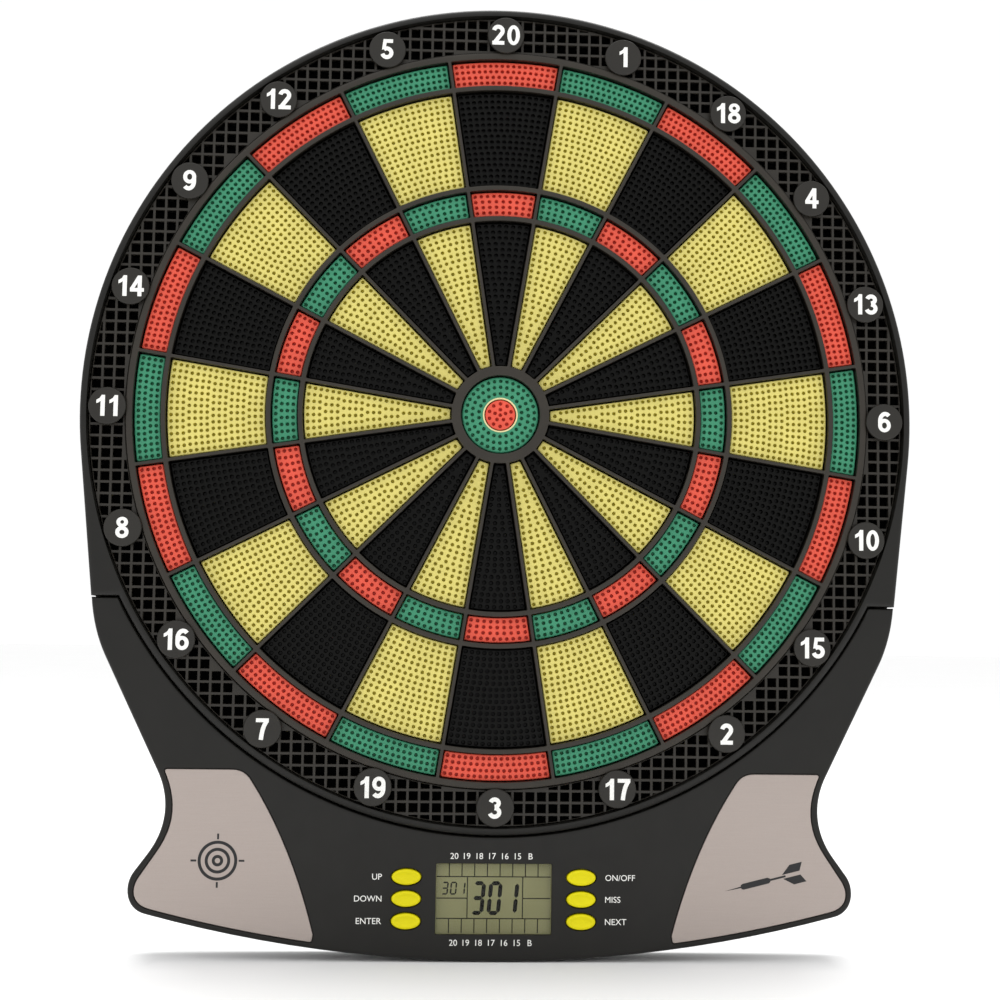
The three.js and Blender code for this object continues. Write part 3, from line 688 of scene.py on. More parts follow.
def segment_plastic(name, colour, roughness, deep, gloss=0.3):
    """Soft dart-receiving plastic, with painted shade: a darker colour down the holes and the sides."""
    nodes = recessed_plastic(
        name, deep, (SEGMENT_FACE - 0.3, SEGMENT_FACE - 1.2),
        lambda nodes: nodes.shades(nodes.noise(70, 4), colour, 0.92, 1.06), (220, roughness), gloss,
    )
    nodes.bump(nodes.noise(1900, 2), 0.25)
    return nodes.material


def web_plastic(name, colour, deep, front):
    """Moulded plastic with painted shade: its colour darkens further in from the front."""
    nodes = recessed_plastic(
        name, deep, (front - 0.25, front - 1.3),
        lambda nodes: nodes.shades(nodes.noise(60, 4), colour, 0.88, 1.12), (160, 0.4), 0.3,
    )
    nodes.bump(nodes.noise(3000, 2), 0.2)
    return nodes.material


def satin_metal(name, colour):
    """Silver-painted panel: finely brushed along x, with a sparkle."""
    nodes = Nodes(name)
    brushed = nodes.noise(90, 4, nodes.stretched((1, 1, 42)))
    nodes.set(
        Base_Color=nodes.shades(brushed, colour, 0.98, 1.02),
        Roughness=nodes.spread(nodes.noise(3200, 1), 0.36, 0.5),
        Metallic=0.82,
    )
    nodes.bump(brushed, 0.07)
    return nodes.material


def clear_acrylic():
    nodes = Nodes("window_acrylic")
    nodes.set(
        Base_Color=nodes.mixed(nodes.spread(nodes.noise(25)), (0.03, 0.03, 0.025), (0.05, 0.05, 0.04)),
        Roughness=nodes.spread(nodes.noise(30, 2), 0.03, 0.08),
        Alpha=0.12, Specular_IOR_Level=0.5,
    )
    return nodes.material


def lcd_glass():
    """Reflective display film: olive, a little brighter where the film is thicker, with a fine tooth."""
    nodes = Nodes("lcd_film")
    clouds = nodes.spread(nodes.noise(40))
    nodes.set(
        Base_Color=nodes.mixed(clouds, linear(150, 149, 106), linear(162, 161, 118)),
        Roughness=nodes.spread(nodes.noise(2500, 2), 0.34, 0.46),
        Specular_IOR_Level=0.2,
    )
    nodes.bump(nodes.noise(3000, 1), 0.15, 0.00002)
    return nodes.material


def ink(name, colour, gloss=0.4):
    """Screen-printed ink, slightly uneven in cover."""
    nodes = Nodes(name)
    nodes.set(
        Base_Color=nodes.shades(nodes.noise(900), colour, 0.9, 1.02),
        Roughness=nodes.spread(nodes.noise(400, 2), 0.44, 0.56),
        Specular_IOR_Level=gloss,
    )
    nodes.bump(nodes.noise(2200, 2), 0.2, 0.00002)
    return nodes.material


def plated_steel(name, colour):
    """Zinc-plated steel with faint rolling marks."""
    nodes = Nodes(name)
    marks = nodes.noise(300, 4, nodes.stretched((1, 1, 8)))
    nodes.set(
        Base_Color=nodes.shades(marks, colour, 0.85, 1.08),
        Roughness=nodes.spread(nodes.noise(700), 0.22, 0.42),
        Metallic=1.0,
    )
    nodes.bump(marks, 0.15)
    return nodes.material


def foam():
    nodes = Nodes("cushion_foam")
    cells = nodes.new("ShaderNodeTexVoronoi", [("Scale", 1400), ("Vector", nodes.place)]).outputs["Distance"]
    nodes.set(Base_Color=nodes.mixed(cells, linear(46, 46, 48), linear(74, 74, 76)), Roughness=0.9)
    nodes.bump(cells, 0.5, 0.0002)
    return nodes.material


def fibreboard():
    nodes = Nodes("fibreboard")
    fibres = nodes.noise(260, 6, nodes.stretched((1, 1, 3)))
    colour = nodes.mixed(nodes.spread(fibres), linear(104, 74, 47), linear(150, 114, 78))
    nodes.set(Base_Color=colour, Roughness=0.85)
    nodes.bump(fibres, 0.4, 0.0002)
    return nodes.material


def printed_film(name, base, track):
    """Clear film or a board with conductor tracks in a regular grid."""
    nodes = Nodes(name)
    inputs = [("Scale", 90), ("Distortion", 0.6), ("Vector", nodes.place)]
    lines = nodes.new("ShaderNodeTexWave", inputs, wave_type="BANDS", bands_direction="X").outputs["Fac"]
    nodes.set(
        Base_Color=nodes.mixed(nodes.spread(lines, start=0.62), base, track),
        Roughness=nodes.spread(nodes.noise(300, 2), 0.25, 0.4),
    )
    nodes.bump(lines, 0.2, 0.00005)
    return nodes.material


def cell_wrap():
    """Heat-shrunk sleeve of a dry cell, in two colours along its length."""
    nodes = Nodes("cell_wrap")
    band = nodes.spread(nodes.along("X"), start=0.0098, end=0.0102)
    nodes.set(
        Base_Color=nodes.mixed(band, linear(30, 34, 46), linear(184, 124, 60)),
        Roughness=nodes.spread(nodes.noise(200), 0.22, 0.36),
    )
    nodes.bump(nodes.noise(500), 0.1, 0.00005)
    return nodes.material


MATERIALS = {
    "housing": moulded_plastic("housing_plastic", linear(20, 19, 16), 0.40, 0.28),
    # Near-black, fully matte plastic for the inside of the rim opening and the ledge: painted shade behind
    # the lattice.
    "deep": moulded_plastic("housing_inside", linear(5, 5, 5), 0.95, 0.05),
    "rear": moulded_plastic("rear_plastic", linear(28, 27, 26), 0.56, grain=(1700, 0.35, 0.00006)),
    # The darker colour given to the spider, lattice and segment plastics is painted shade down their holes,
    # sides and cells.
    "spider": web_plastic("spider_plastic", linear(45, 41, 35), linear(16, 13, 9), SPIDER_FRONT),
    "lattice": web_plastic("lattice_plastic", linear(42, 39, 34), linear(9, 8, 7), CATCH_RING[1]),
    "disc": moulded_plastic("disc_plastic", linear(36, 34, 30), 0.40, grain=(2800, 0.2, 0.00003)),
    "black": segment_plastic("segment_black", linear(4, 4, 3), 0.36, linear(1, 1, 1), 0.12),
    "yellow": segment_plastic("segment_yellow", linear(214, 202, 112), 0.46, linear(172, 158, 20)),
    "red": segment_plastic("segment_red", linear(222, 84, 64), 0.44, linear(186, 40, 22)),
    "green": segment_plastic("segment_green", linear(58, 138, 104), 0.44, linear(8, 96, 60)),
    "cream": segment_plastic("bull_cream", linear(228, 214, 160), 0.44, linear(120, 108, 70)),
    "wing": satin_metal("wing_silver", linear(168, 157, 151)),
    "button": moulded_plastic("button_yellow", linear(222, 211, 6), 0.36, 0.2, (2600, 0.12, 0.00003), 0.05),
    "window": clear_acrylic(),
    "lcd": lcd_glass(),
    "white_ink": ink("white_ink", linear(242, 242, 238)),
    "dark_ink": ink("dark_ink", linear(26, 26, 28)),
    "lcd_ink": ink("lcd_crystal", linear(6, 6, 4), 0.08),
    "lcd_line": ink("lcd_grid", linear(38, 38, 22), 0.08),
    "rubber": moulded_plastic("keypad_rubber", linear(70, 70, 70), 0.75, grain=(1500, 0.35, 0.00003)),
    "foam": foam(),
    "fibreboard": fibreboard(),
    "film": printed_film("membrane_film", linear(206, 210, 190), linear(150, 150, 150)),
    "board": printed_film("circuit_board", linear(20, 66, 38), linear(74, 110, 60)),
    "speaker": plated_steel("speaker_steel", linear(150, 150, 150)),
    "contact": plated_steel("contact_steel", linear(206, 204, 196)),
    "screw": plated_steel("screw_steel", linear(196, 196, 192)),
    "cell": cell_wrap(),
}


# ---------------------------------------------------------------- target

def dart_hole(draft, centre, face):
    """One dart hole; gives the loop of its mouth in the face."""
    mouth, floor = draft.tube(below(face, HOLE_PROFILE), centre, HOLE_SIDES, outward=False)
    draft.add(floor)
    return mouth


def hole_rows(radii, rows, margins, spacing, side_margin):
    """Centres of the holes of one segment at the top of the board, in rows that fill its width."""
    centres = []
    for radius in np.linspace(radii[0] + margins[0], radii[1] - margins[1], rows):
        width = radius * SECTOR_ANGLE - RADIAL_WALL - 2 * side_margin
        gaps = int(width / spacing)
        for step in range(gaps + 1):
            offset = width * (step / gaps - 0.5) if gaps else 0
            centres.append(polar(radius, math.pi / 2 + offset / radius))
    return centres


def segment_mesh(name, radii):
    draft = Draft()
    profile = [*below(SEGMENT_FACE, SEGMENT_EDGE), (0, SEGMENT_BASE[1] + 0.02)]
    face, back = draft.sweep([
        (ring_piece(radii, RADIAL_WALL / 2, SEGMENT_GAP + margin, SEGMENT_CORNER), z) for margin, z in profile
    ])
    centres = hole_rows(radii, *HOLE_LAYOUTS[name])
    draft.fill(face, [dart_hole(draft, centre, SEGMENT_FACE) for centre in centres])
    draft.add(back, False)
    return draft.mesh(sharp=50)


def sector_base_mesh():
    draft = Draft()
    low, high = SEGMENT_BASE
    front, back = draft.drawn_in(ring_piece(SECTOR_BASE_RADII, BASE_GAP / 2), (
        (BASE_EDGE, high), (0, high - BASE_EDGE), (0, low + BASE_EDGE), (BASE_EDGE, low),
    ))
    draft.fill(front)
    draft.fill(back, front=False)
    return draft.mesh()


def make_segments():
    base = sector_base_mesh()
    bases = {"black": base, "yellow": base.copy()}
    meshes = {}
    for name, radii in zip(HOLE_LAYOUTS, window_radii()):
        pattern = segment_mesh(name, radii)
        pair = ("black", "yellow") if "single" in name else ("red", "green")
        meshes[name] = [(colour, pattern.copy()) for colour in pair]
    for index in range(SECTORS):
        node = f"sector_{index + 1:02d}"
        turn = index * SECTOR_ANGLE
        colour = ("black", "yellow")[index % 2]
        place(f"{node}_base", bases[colour], [colour], node, [node], turn)
        for name, choices in meshes.items():
            colour, data = choices[index % 2]
            place(f"{node}_{name}", data, [colour], node, (), turn)


def make_spider():
    draft = Draft()
    windows = []
    profile = [*below(SPIDER_FRONT, SPIDER_WINDOW_EDGE), (0, SPIDER_BACK)]
    for index in range(SECTORS):
        for radii in window_radii():
            windows.append(draft.sweep([
                (ring_piece(radii, RADIAL_WALL / 2, margin, SPIDER_WINDOW_CORNER, sector_angle(index)), z)
                for margin, z in profile
            ], outward=False))
    hub = HUB_RADII[0]
    bull_opening = draft.tube([
        *below(SPIDER_FRONT, SPIDER_RING_EDGE, hub), (hub, SPIDER_BACK),
    ], sides=SPIDER_RING_SIDES, outward=False)
    outer, inner = OUTER_RING_RADII[1], OUTER_RING_RADII[0] + SPIDER_SKIRT_SETBACK
    front, back = draft.tube([
        *below(SPIDER_FRONT, SPIDER_RING_EDGE, outer, -1),
        (outer, SPIDER_RIM_BACK), (inner, SPIDER_RIM_BACK), (inner, SPIDER_BACK),
    ], sides=SPIDER_RING_SIDES)
    openings = [*windows, bull_opening]
    draft.fill(front, [opening[0] for opening in openings])
    draft.fill(back, [opening[1] for opening in openings], False)
    place("spider_web", draft.mesh(), ["spider"], replaces=["spider"])
    lug = Draft()
    centre = ((OUTER_RING_RADII[1] + SPIDER_LUG_REACH) / 2, 0)
    outline = rectangle(centre, (SPIDER_LUG_REACH - OUTER_RING_RADII[1], SPIDER_LUG_WIDTH))
    lug.ends(lug.drawn_in(rounded(outline, 1.2), SPIDER_LUG_PROFILE))
    data = lug.mesh()
    for index in range(SPIDER_LUGS):
        turn = (index + 0.5) * 2 * math.pi / SPIDER_LUGS
        place(f"spider_lug_{index + 1}", data, ["spider"], turn=turn)


def ring_of_holes(draft, rings):
    mouths = []
    for radius, count in rings:
        for step in range(count):
            centre = polar(radius, math.pi / 2 + step * 2 * math.pi / count)
            mouths.append(dart_hole(draft, centre, BULL_FACE))
    return mouths


def make_bulls():
    low, high = SEGMENT_BASE
    outer = Draft()
    inner_radius, outer_radius = OUTER_BULL_RADII
    edge = outer.tube([
        *below(BULL_FACE, OUTER_BULL_EDGE, outer_radius, -1),
        (outer_radius, high), (OUTER_BULL_FLANGE, high), (OUTER_BULL_FLANGE, low),
    ], sides=BULL_SIDES)
    outer.material = 1
    flange, step = INNER_BULL_FLANGE + SEGMENT_GAP, high + BULL_STEP_RISE
    lip = outer.tube([
        *below(BULL_FACE, CREAM_LIP, inner_radius), (inner_radius, step), (flange, step), (flange, low),
    ], sides=BULL_SIDES, outward=False)
    outer.material = 0
    outer.fill(edge[0], [lip[0], *ring_of_holes(outer, OUTER_BULL_HOLES)])
    outer.fill(edge[1], [lip[1]], False)
    place("outer_bull_target", outer.mesh(50), ["green", "cream"],
          "outer_bull", ["outer_bull"])

    inner = Draft()
    top = low + INNER_BULL_FLANGE_THICKNESS
    front, back = inner.tube([
        *below(BULL_FACE, INNER_BULL_EDGE, INNER_BULL_RADIUS, -1), (INNER_BULL_RADIUS, top),
        (INNER_BULL_FLANGE, top), (INNER_BULL_FLANGE, low),
    ], sides=BULL_SIDES)
    inner.fill(front, ring_of_holes(inner, INNER_BULL_HOLES))
    inner.add(back, False)
    place("inner_bull_target", inner.mesh(50), ["red"], "inner_bull", ["inner_bull"])


# ---------------------------------------------------------------- catch ring and numbers

def clipped(outline, normal, limit):
    """The part of a convex outline where its distance along the normal is at most the limit."""
    kept = []
    for here, there in zip(outline, [*outline[1:], *outline[:1]]):
        here_over, there_over = here @ normal - limit, there @ normal - limit
        if here_over <= 0:
            kept.append(here)
        if (here_over < 0) != (there_over < 0) and here_over != there_over:
            kept.append(here + (there - here) * here_over / (here_over - there_over))
    return kept


def keeps_its_shape(outline, distance):
    """Whether every side still runs the same way after the outline is moved inwards."""
    sides = np.roll(outline, -1, axis=0) - outline
    if np.linalg.norm(sides, axis=1).min() < distance:
        return False
    moved = inset(outline, distance)
    return ((np.roll(moved, -1, axis=0) - moved) * sides).sum(axis=1).min() > 0


def lattice_cells():
    """Openings of the square lattice, cut off at both edges of the ring."""
    inner, outer = CATCH_RING_RADII[0] + LATTICE_EDGE, CATCH_RING_RADII[1] - LATTICE_EDGE
    reach = int(outer / LATTICE_PITCH) + 1
    cells = []
    for column in range(-reach, reach + 1):
        for row in range(-reach, reach + 1):
            centre = np.array((column, row)) * LATTICE_PITCH
            distance = np.linalg.norm(centre)
            if not inner - LATTICE_PITCH < distance < outer + LATTICE_PITCH:
                continue
            normal = centre / distance
            square = list(rectangle(centre, (LATTICE_CELL, LATTICE_CELL)))
            cell = clipped(clipped(square, normal, outer), -normal, -inner)
            if len(cell) > 2 and keeps_its_shape(np.array(cell), LATTICE_DRAFT):
                cells.append(np.array(cell))
    return cells


def make_lattice():
    draft = Draft()
    back, front = CATCH_RING
    inner, outer = CATCH_RING_RADII
    profile = [*below(front, LATTICE_CELL_EDGE), (LATTICE_DRAFT, back)]
    openings = [draft.drawn_in(cell, profile, outward=False) for cell in lattice_cells()]
    edge = draft.tube([*below(front, CATCH_RING_EDGE, outer, -1), (outer, back)], sides=RIM_SIDES)
    openings.append(draft.tube([
        *below(front, CATCH_RING_EDGE, inner), (inner, back),
    ], sides=RIM_SIDES, outward=False))
    draft.fill(edge[0], [opening[0] for opening in openings])
    draft.fill(edge[1], [opening[1] for opening in openings], False)
    place("catch_lattice", draft.mesh(), ["lattice"], replaces=["catch_ring"])


def lettering(text, height, centre, z, align="CENTER"):
    """Flat lettering as a solid of ink thickness, with capitals of the given height."""
    curve = bpy.data.curves.new("lettering", "FONT")
    curve.body = text
    curve.align_x = align
    curve.align_y = "CENTER"
    curve.resolution_u = 4
    curve.extrude = 0.5
    data = evaluated(bpy.data.objects.new("lettering", curve))
    points = np.array([vertex.co[:] for vertex in data.vertices])
    low, high = points.min(axis=0), points.max(axis=0)
    anchor = {"CENTER": (low[0] + high[0]) / 2, "LEFT": low[0], "RIGHT": high[0]}[align]
    points -= (anchor, (low[1] + high[1]) / 2, -0.5)
    scale = height / (high[1] - low[1])
    faces = [face.vertices[:] for face in data.polygons]
    return to_row(points * (scale, scale, PRINT) + (*centre, z)).tolist(), faces


def joined(parts):
    """Several sets of points and faces as one mesh."""
    points, faces = [], []
    for part_points, part_faces in parts:
        first = len(points)
        points.extend(part_points)
        faces.extend(tuple(first + index for index in face) for face in part_faces)
    data = bpy.data.meshes.new("joined")
    data.from_pydata(points, [], faces)
    return data


def ribbon(path, half=DIGIT_STROKE / 2):
    """The outline of a stroke of even width along a path."""
    along = np.gradient(np.array(path, float), axis=0)
    across = np.stack((-along[:, 1], along[:, 0]), axis=1)
    across *= half / np.linalg.norm(across, axis=1)[:, None]
    return np.concatenate((path - across, (path + across)[::-1]))


def bowl(centre, radii, start, end):
    """Part of an ellipse, from one angle to another in degrees."""
    return np.array(centre) + arc(1, math.radians(start), math.radians(end), 14) * radii


SIX = (
    [ellipse((0.31, 0.33), (0.62, 0.66)),
     ribbon(np.concatenate(([(0.1, 0.33)], bowl((0.35, 0.56), (0.25, 0.34), 180, 45))))],
    [ellipse((0.31, 0.33), (0.24, 0.3))],
)

# Digits one unit high, as solid outlines and the holes in them.
DIGITS = {
    "0": ([ellipse((0.31, 0.5), (0.62, 1))], [ellipse((0.31, 0.5), (0.23, 0.64))]),
    "1": ([np.array([(0.46, 0), (0.46, 1), (0.30, 1), (0.22, 0.86), (0.06, 0.76), (0.06, 0.6),
                     (0.16, 0.64), (0.26, 0.71), (0.26, 0)])], []),
    "2": ([ribbon(np.concatenate((bowl((0.31, 0.69), (0.21, 0.21), 170, -35), [(0.16, 0.14)]))),
           box(0.02, 0, 0.61, 0.19)], []),
    "3": ([ribbon(bowl((0.29, 0.73), (0.19, 0.17), 165, -90)),
           ribbon(bowl((0.29, 0.3), (0.22, 0.2), 90, -165))], []),
    "4": ([box(0.36, 0, 0.55, 1), box(0, 0.22, 0.66, 0.4),
           np.array([(0, 0.38), (0.2, 0.38), (0.42, 0.74), (0.40, 1), (0.36, 1)])], []),
    "5": ([box(0.12, 0.82, 0.58, 1), np.array([(0.05, 0.47), (0.23, 0.5), (0.29, 1), (0.12, 1)]),
           ribbon(bowl((0.29, 0.32), (0.22, 0.22), 130, -165))], []),
    "6": SIX,
    "7": ([box(0.02, 0.82, 0.62, 1), ribbon(bezier(((0.53, 0.88), (0.32, 0.6), (0.27, 0)), 8))], []),
    "8": ([ellipse((0.31, 0.755), (0.54, 0.49)), ellipse((0.31, 0.285), (0.62, 0.57))],
          [ellipse((0.31, 0.76), (0.18, 0.17)), ellipse((0.31, 0.28), (0.24, 0.21))]),
    "9": tuple([(0.62, 1) - outline for outline in part] for part in SIX),
}


def number_shape(draft, number, centre, height, z):
    """The digits of a number side by side about the centre."""
    widths = [ONE_WIDTH if figure == "1" else DIGIT_WIDTH for figure in str(number)]
    left = -(sum(widths) + DIGIT_GAP * (len(widths) - 1)) / 2
    for figure, width in zip(str(number), widths):
        corner = np.array((left, -0.5))
        solids, holes = (
            [(outline + corner) * height + centre for outline in part] for part in DIGITS[figure]
        )
        draft.printed(solids, holes, z)
        left += width + DIGIT_GAP


def make_numbers():
    for index, number in enumerate(NUMBERS):
        centre = polar(NUMBER_CIRCLE_RADIUS, sector_angle(index))
        disc = Draft()
        disc.ends(disc.tube(DISC_PROFILE, centre))
        place(f"number_disc_{number}", disc.mesh(), ["disc"])
        digits = Draft()
        number_shape(digits, number, centre, NUMBER_HEIGHT, DISC_PROFILE[0][1])
        place(f"number_{number}", digits.mesh(), ["white_ink"])


# ---------------------------------------------------------------- housings

def make_front_housing():
    draft = Draft()
    outer = draft.drawn_in(rim_outline(), [
        *below(RIM_FRONT, RIM_EDGE), (0, FRONT_BACK), (WALL, FRONT_BACK), (WALL, RIM_FRONT - PLATE),
    ])
    opening, recess = RIM_OPENING_RADIUS, RIM_OPENING_RADIUS + RIM_RECESS
    upper, _ = draft.tube([
        *below(RIM_FRONT, RIM_BEVEL, opening), (opening, RIM_SHADE),
    ], sides=RIM_SIDES, outward=False)
    # The opening below RIM_SHADE and the ledge behind the lattice take the near-black matte material: painted
    # shade.
    draft.material = 1
    _, inner = draft.tube([
        (opening, RIM_SHADE), (opening, FRONT_LEDGE), (FRONT_LEDGE_RADIUS, FRONT_LEDGE),
        (FRONT_LEDGE_RADIUS, FRONT_BACK), (recess, FRONT_BACK), (recess, RIM_FRONT - PLATE),
    ], sides=RIM_SIDES, outward=False)
    draft.material = 0
    draft.fill(outer[0], [upper])
    draft.fill(outer[1], [inner], False)
    place("front_rim", draft.mesh(), ["housing", "deep"], replaces=["front_housing"])


def button_centres():
    return [(side * BUTTON_COLUMN, height) for side in (-1, 1) for height in BUTTON_HEIGHTS]


def make_console_cover():
    draft = Draft()
    outer = draft.drawn_in(cover_outline(), [
        *below(COVER_FRONT, COVER_EDGE), (0, FRONT_BACK), (WALL, FRONT_BACK), (WALL, COVER_FRONT - PLATE),
    ])
    outlines = [rounded(rectangle(LCD_CENTRE, np.array(LCD_OPENING) + 2 * GAP), LCD_OPENING_CORNER)]
    for centre in button_centres():
        outlines.append(ellipse(centre, np.array(BUTTON_SIZE) + 2 * SEGMENT_GAP))
    profile = [*below(COVER_FRONT, COVER_OPENING_EDGE), (0, COVER_FRONT - PLATE)]
    openings = [draft.drawn_in(outline, profile, outward=False) for outline in outlines]
    recesses = []
    for panel in (wing_outline(), mirrored(wing_outline())):
        mouth, floor = draft.drawn_in(inset(panel, -GAP), [
            *below(COVER_FRONT, RECESS_EDGE), (0, WING_PANEL[0] - GAP),
        ], outward=False)
        draft.fill(floor)
        recesses.append(mouth)
    draft.fill(outer[0], [*(opening[0] for opening in openings), *recesses])
    draft.fill(outer[1], [opening[1] for opening in openings], False)
    place("console_shell", draft.mesh(), ["housing"], replaces=["console_cover"])


def screw_centres():
    around = [polar(SCREW_CIRCLE_RADIUS, index * math.pi / 3) for index in range(6)]
    return [*around, *(np.array(centre) for centre in WING_SCREWS)]


def keyhole_outline(centre):
    """Round head below, narrow slot above."""
    meet = math.asin(KEYHOLE_SLOT / KEYHOLE_HEAD)
    head = arc(KEYHOLE_HEAD, math.pi / 2 + meet, 5 * math.pi / 2 - meet, 24, centre)
    slot_end = (centre[0], centre[1] + KEYHOLE_RISE)
    return np.concatenate((head, arc(KEYHOLE_SLOT, 0, math.pi, 12, slot_end)))


def bosses_and_sound_holes(draft):
    """The ends of each boss and hole, at the inner floor and at the back."""
    boss = (
        (BOSS_RADIUS, REAR_FLOOR), (BOSS_RADIUS, REAR_DEPTH), (SCREW_HOLE_RADIUS, REAR_DEPTH),
        (SCREW_HOLE_RADIUS, COUNTERBORE_DEPTH), (COUNTERBORE, COUNTERBORE_DEPTH),
        (COUNTERBORE, COUNTERBORE_EDGE), (COUNTERBORE + COUNTERBORE_EDGE, 0),
    )
    ends = [draft.tube(boss, centre, SCREW_SIDES, outward=False) for centre in screw_centres()]
    sound = (
        (SOUND_HOLE_RADIUS, REAR_FLOOR), (SOUND_HOLE_RADIUS, BACK_EDGE), (SOUND_HOLE_RADIUS + BACK_EDGE, 0),
    )
    around = [polar(SOUND_HOLE_SPACING, step * math.pi / 3) for step in range(6)]
    for offset in ((0, 0), *around):
        ends.append(draft.tube(sound, np.array(SPEAKER_CENTRE) + offset, SOUND_HOLE_SIDES, outward=False))
    return ends


def raised_box(draft, centre, size, corner, height):
    """A box on the inner floor over a hollow of the given size; gives the loop at its foot."""
    outline = rounded(rectangle(centre, np.array(size) + 2 * BOX_WALL), corner)
    foot, roof = draft.sweep([(outline, REAR_FLOOR), (outline, height)], outward=False)
    draft.add(roof)
    return foot


def hanger(draft, centre):
    """A keyhole with its pocket; gives the foot of its box and the mouth of the keyhole."""
    middle = (centre[0], centre[1] + KEYHOLE_RISE / 2)
    foot = raised_box(draft, middle, HANGER_POCKET, 1.5, HANGER_CEILINGS[1])
    top, mouth = draft.drawn_in(
        keyhole_outline(centre), ((0, REAR_FLOOR), (0, BACK_EDGE), (-BACK_EDGE, 0)), outward=False)
    hollow = rounded(rectangle(middle, HANGER_POCKET), 1.0)
    ceiling, floor = draft.sweep([(hollow, HANGER_CEILINGS[0]), (hollow, REAR_FLOOR)], outward=False)
    draft.add(ceiling, False)
    draft.fill(floor, [top])
    return foot, mouth


def battery_well(draft):
    """The well with the door's seat round it; gives the foot of its box and the seat's mouth."""
    shallow, deep = WELL_DEPTH
    well = rounded(rectangle(WELL_CENTRE, WELL_SIZE), 1.5)
    top, well_mouth = draft.sweep([(well, deep), (well, shallow)], outward=False)
    draft.add(top, False)
    seat = rounded(rectangle(WELL_CENTRE, np.array(DOOR_SIZE) + 2 * GAP), 2.2)
    ledge, mouth = draft.drawn_in(seat, ((0, shallow), (0, 0.25), (-0.25, 0)), outward=False)
    draft.fill(ledge, [well_mouth], False)
    return raised_box(draft, WELL_CENTRE, WELL_SIZE, 2, deep + 1), mouth


def make_rear_housing():
    draft = Draft()
    floor, back = draft.drawn_in(housing_outline(), [
        (WALL, REAR_FLOOR), (WALL, REAR_DEPTH), (BACK_EDGE, REAR_DEPTH), (0, REAR_DEPTH - BACK_EDGE),
        *REAR_EDGE,
    ])
    ends = bosses_and_sound_holes(draft)
    ends.extend(hanger(draft, centre) for centre in HANGERS)
    ends.append(battery_well(draft))
    draft.fill(floor, [end[0] for end in ends])
    draft.fill(back, [end[1] for end in ends], False)
    place("rear_shell", draft.mesh(), ["rear"], replaces=["rear_housing"])


def make_battery_door():
    """Door with a finger notch at its upper edge and grip grooves below the notch."""
    draft = Draft()
    outline = rounded(rectangle(WELL_CENTRE, DOOR_SIZE), 2)
    front, back = draft.drawn_in(outline, [(0.2, DOOR_THICKNESS), (0, DOOR_THICKNESS - 0.2), *DOOR_EDGE])
    draft.fill(front)
    x, top = WELL_CENTRE[0], WELL_CENTRE[1] + DOOR_SIZE[1] / 2
    drop, size = NOTCH
    notch = rounded(rectangle((x, top - drop), size), 2.2, 5)
    pockets = [draft.drawn_in(notch, NOTCH_PROFILE, outward=False)]
    for row in range(GROOVES):
        centre = (x, top - GROOVE_TOP - row * GROOVE_PITCH)
        groove = rounded(rectangle(centre, (GROOVE_LENGTH - GROOVE_TAPER * row, 1)), 0.45, 4)
        pockets.append(draft.drawn_in(groove, GROOVE_PROFILE, outward=False))
    for ceiling, _ in pockets:
        draft.add(ceiling, False)
    draft.fill(back, [mouth for _, mouth in pockets], False)
    place("battery_cover", draft.mesh(), ["rear"], "battery_door", ["battery_door"])


def cross_outline():
    long, short = CROSS_REACH, CROSS_HALF_WIDTH
    corner = [(short, long), (-short, long), (-short, short)]
    return np.concatenate([turned_by(corner, step * math.pi / 2) for step in range(4)])


def make_screws():
    """Pan-head screws with a cross recess, driven from the back."""
    for index, centre in enumerate(screw_centres()):
        draft = Draft()
        tip, head = draft.tube(SCREW_PROFILE, centre, SCREW_SIDES)
        draft.add(tip)
        stages = [(centre + cross_outline() * scale, z) for scale, z in CROSS_STAGES]
        bottom, mouth = draft.sweep(stages, outward=False)
        draft.add(bottom, False)
        draft.fill(head, [mouth], False)
        node = f"screw_{index + 1}"
        place(f"cross_{node}", draft.mesh(), ["screw"], replaces=[node])


# ---------------------------------------------------------------- console pieces

def make_wing_panels():
    for side, outline in (("right", wing_outline()), ("left", mirrored(wing_outline()))):
        draft = Draft()
        profile = [*below(WING_PANEL[1], WING_PANEL_EDGE), (0, WING_PANEL[0])]
        front, back = draft.drawn_in(outline, profile)
        draft.fill(front)
        draft.fill(back, front=False)
        place(f"{side}_wing_plate", draft.mesh(), ["wing"], replaces=[f"{side}_wing_panel"])


def make_emblems():
    """Plain pictograms on the silver panels: a small target on the left, a dart on the right."""
    target = Draft()
    for inner, outer in TARGET_RINGS:
        target.printed([circle(outer, 48, TARGET_EMBLEM)], [circle(inner, 48, TARGET_EMBLEM)], WING_PANEL[1])
    for step in range(4):
        bar = turned_by(rectangle(*TARGET_BAR), step * math.pi / 2) + TARGET_EMBLEM
        target.printed([bar], [], WING_PANEL[1])
    dart = Draft()
    for shape in DART_SHAPES:
        dart.printed([turned_by(shape, DART_LEAN) + DART_EMBLEM], [], WING_PANEL[1])
    for name, draft in (("target_emblem", target), ("dart_emblem", dart)):
        place(name, draft.mesh(), ["dark_ink"])


def make_buttons():
    names = [name for column in BUTTONS for name in column]
    low, high = BUTTON_FLANGE
    profile = [
        *below(BUTTON_FRONT, BUTTON_DISH), (0, high), (-BUTTON_FLANGE_EDGE, high), (-BUTTON_FLANGE_EDGE, low),
    ]
    for name, centre in zip(names, button_centres()):
        draft = Draft()
        size = np.array(BUTTON_SIZE)
        draft.ends(draft.sweep([(ellipse(centre, size - 2 * margin), z) for margin, z in profile]))
        node = f"{name}_button"
        place(f"{name}_key", draft.mesh(), ["button"], node, [node])


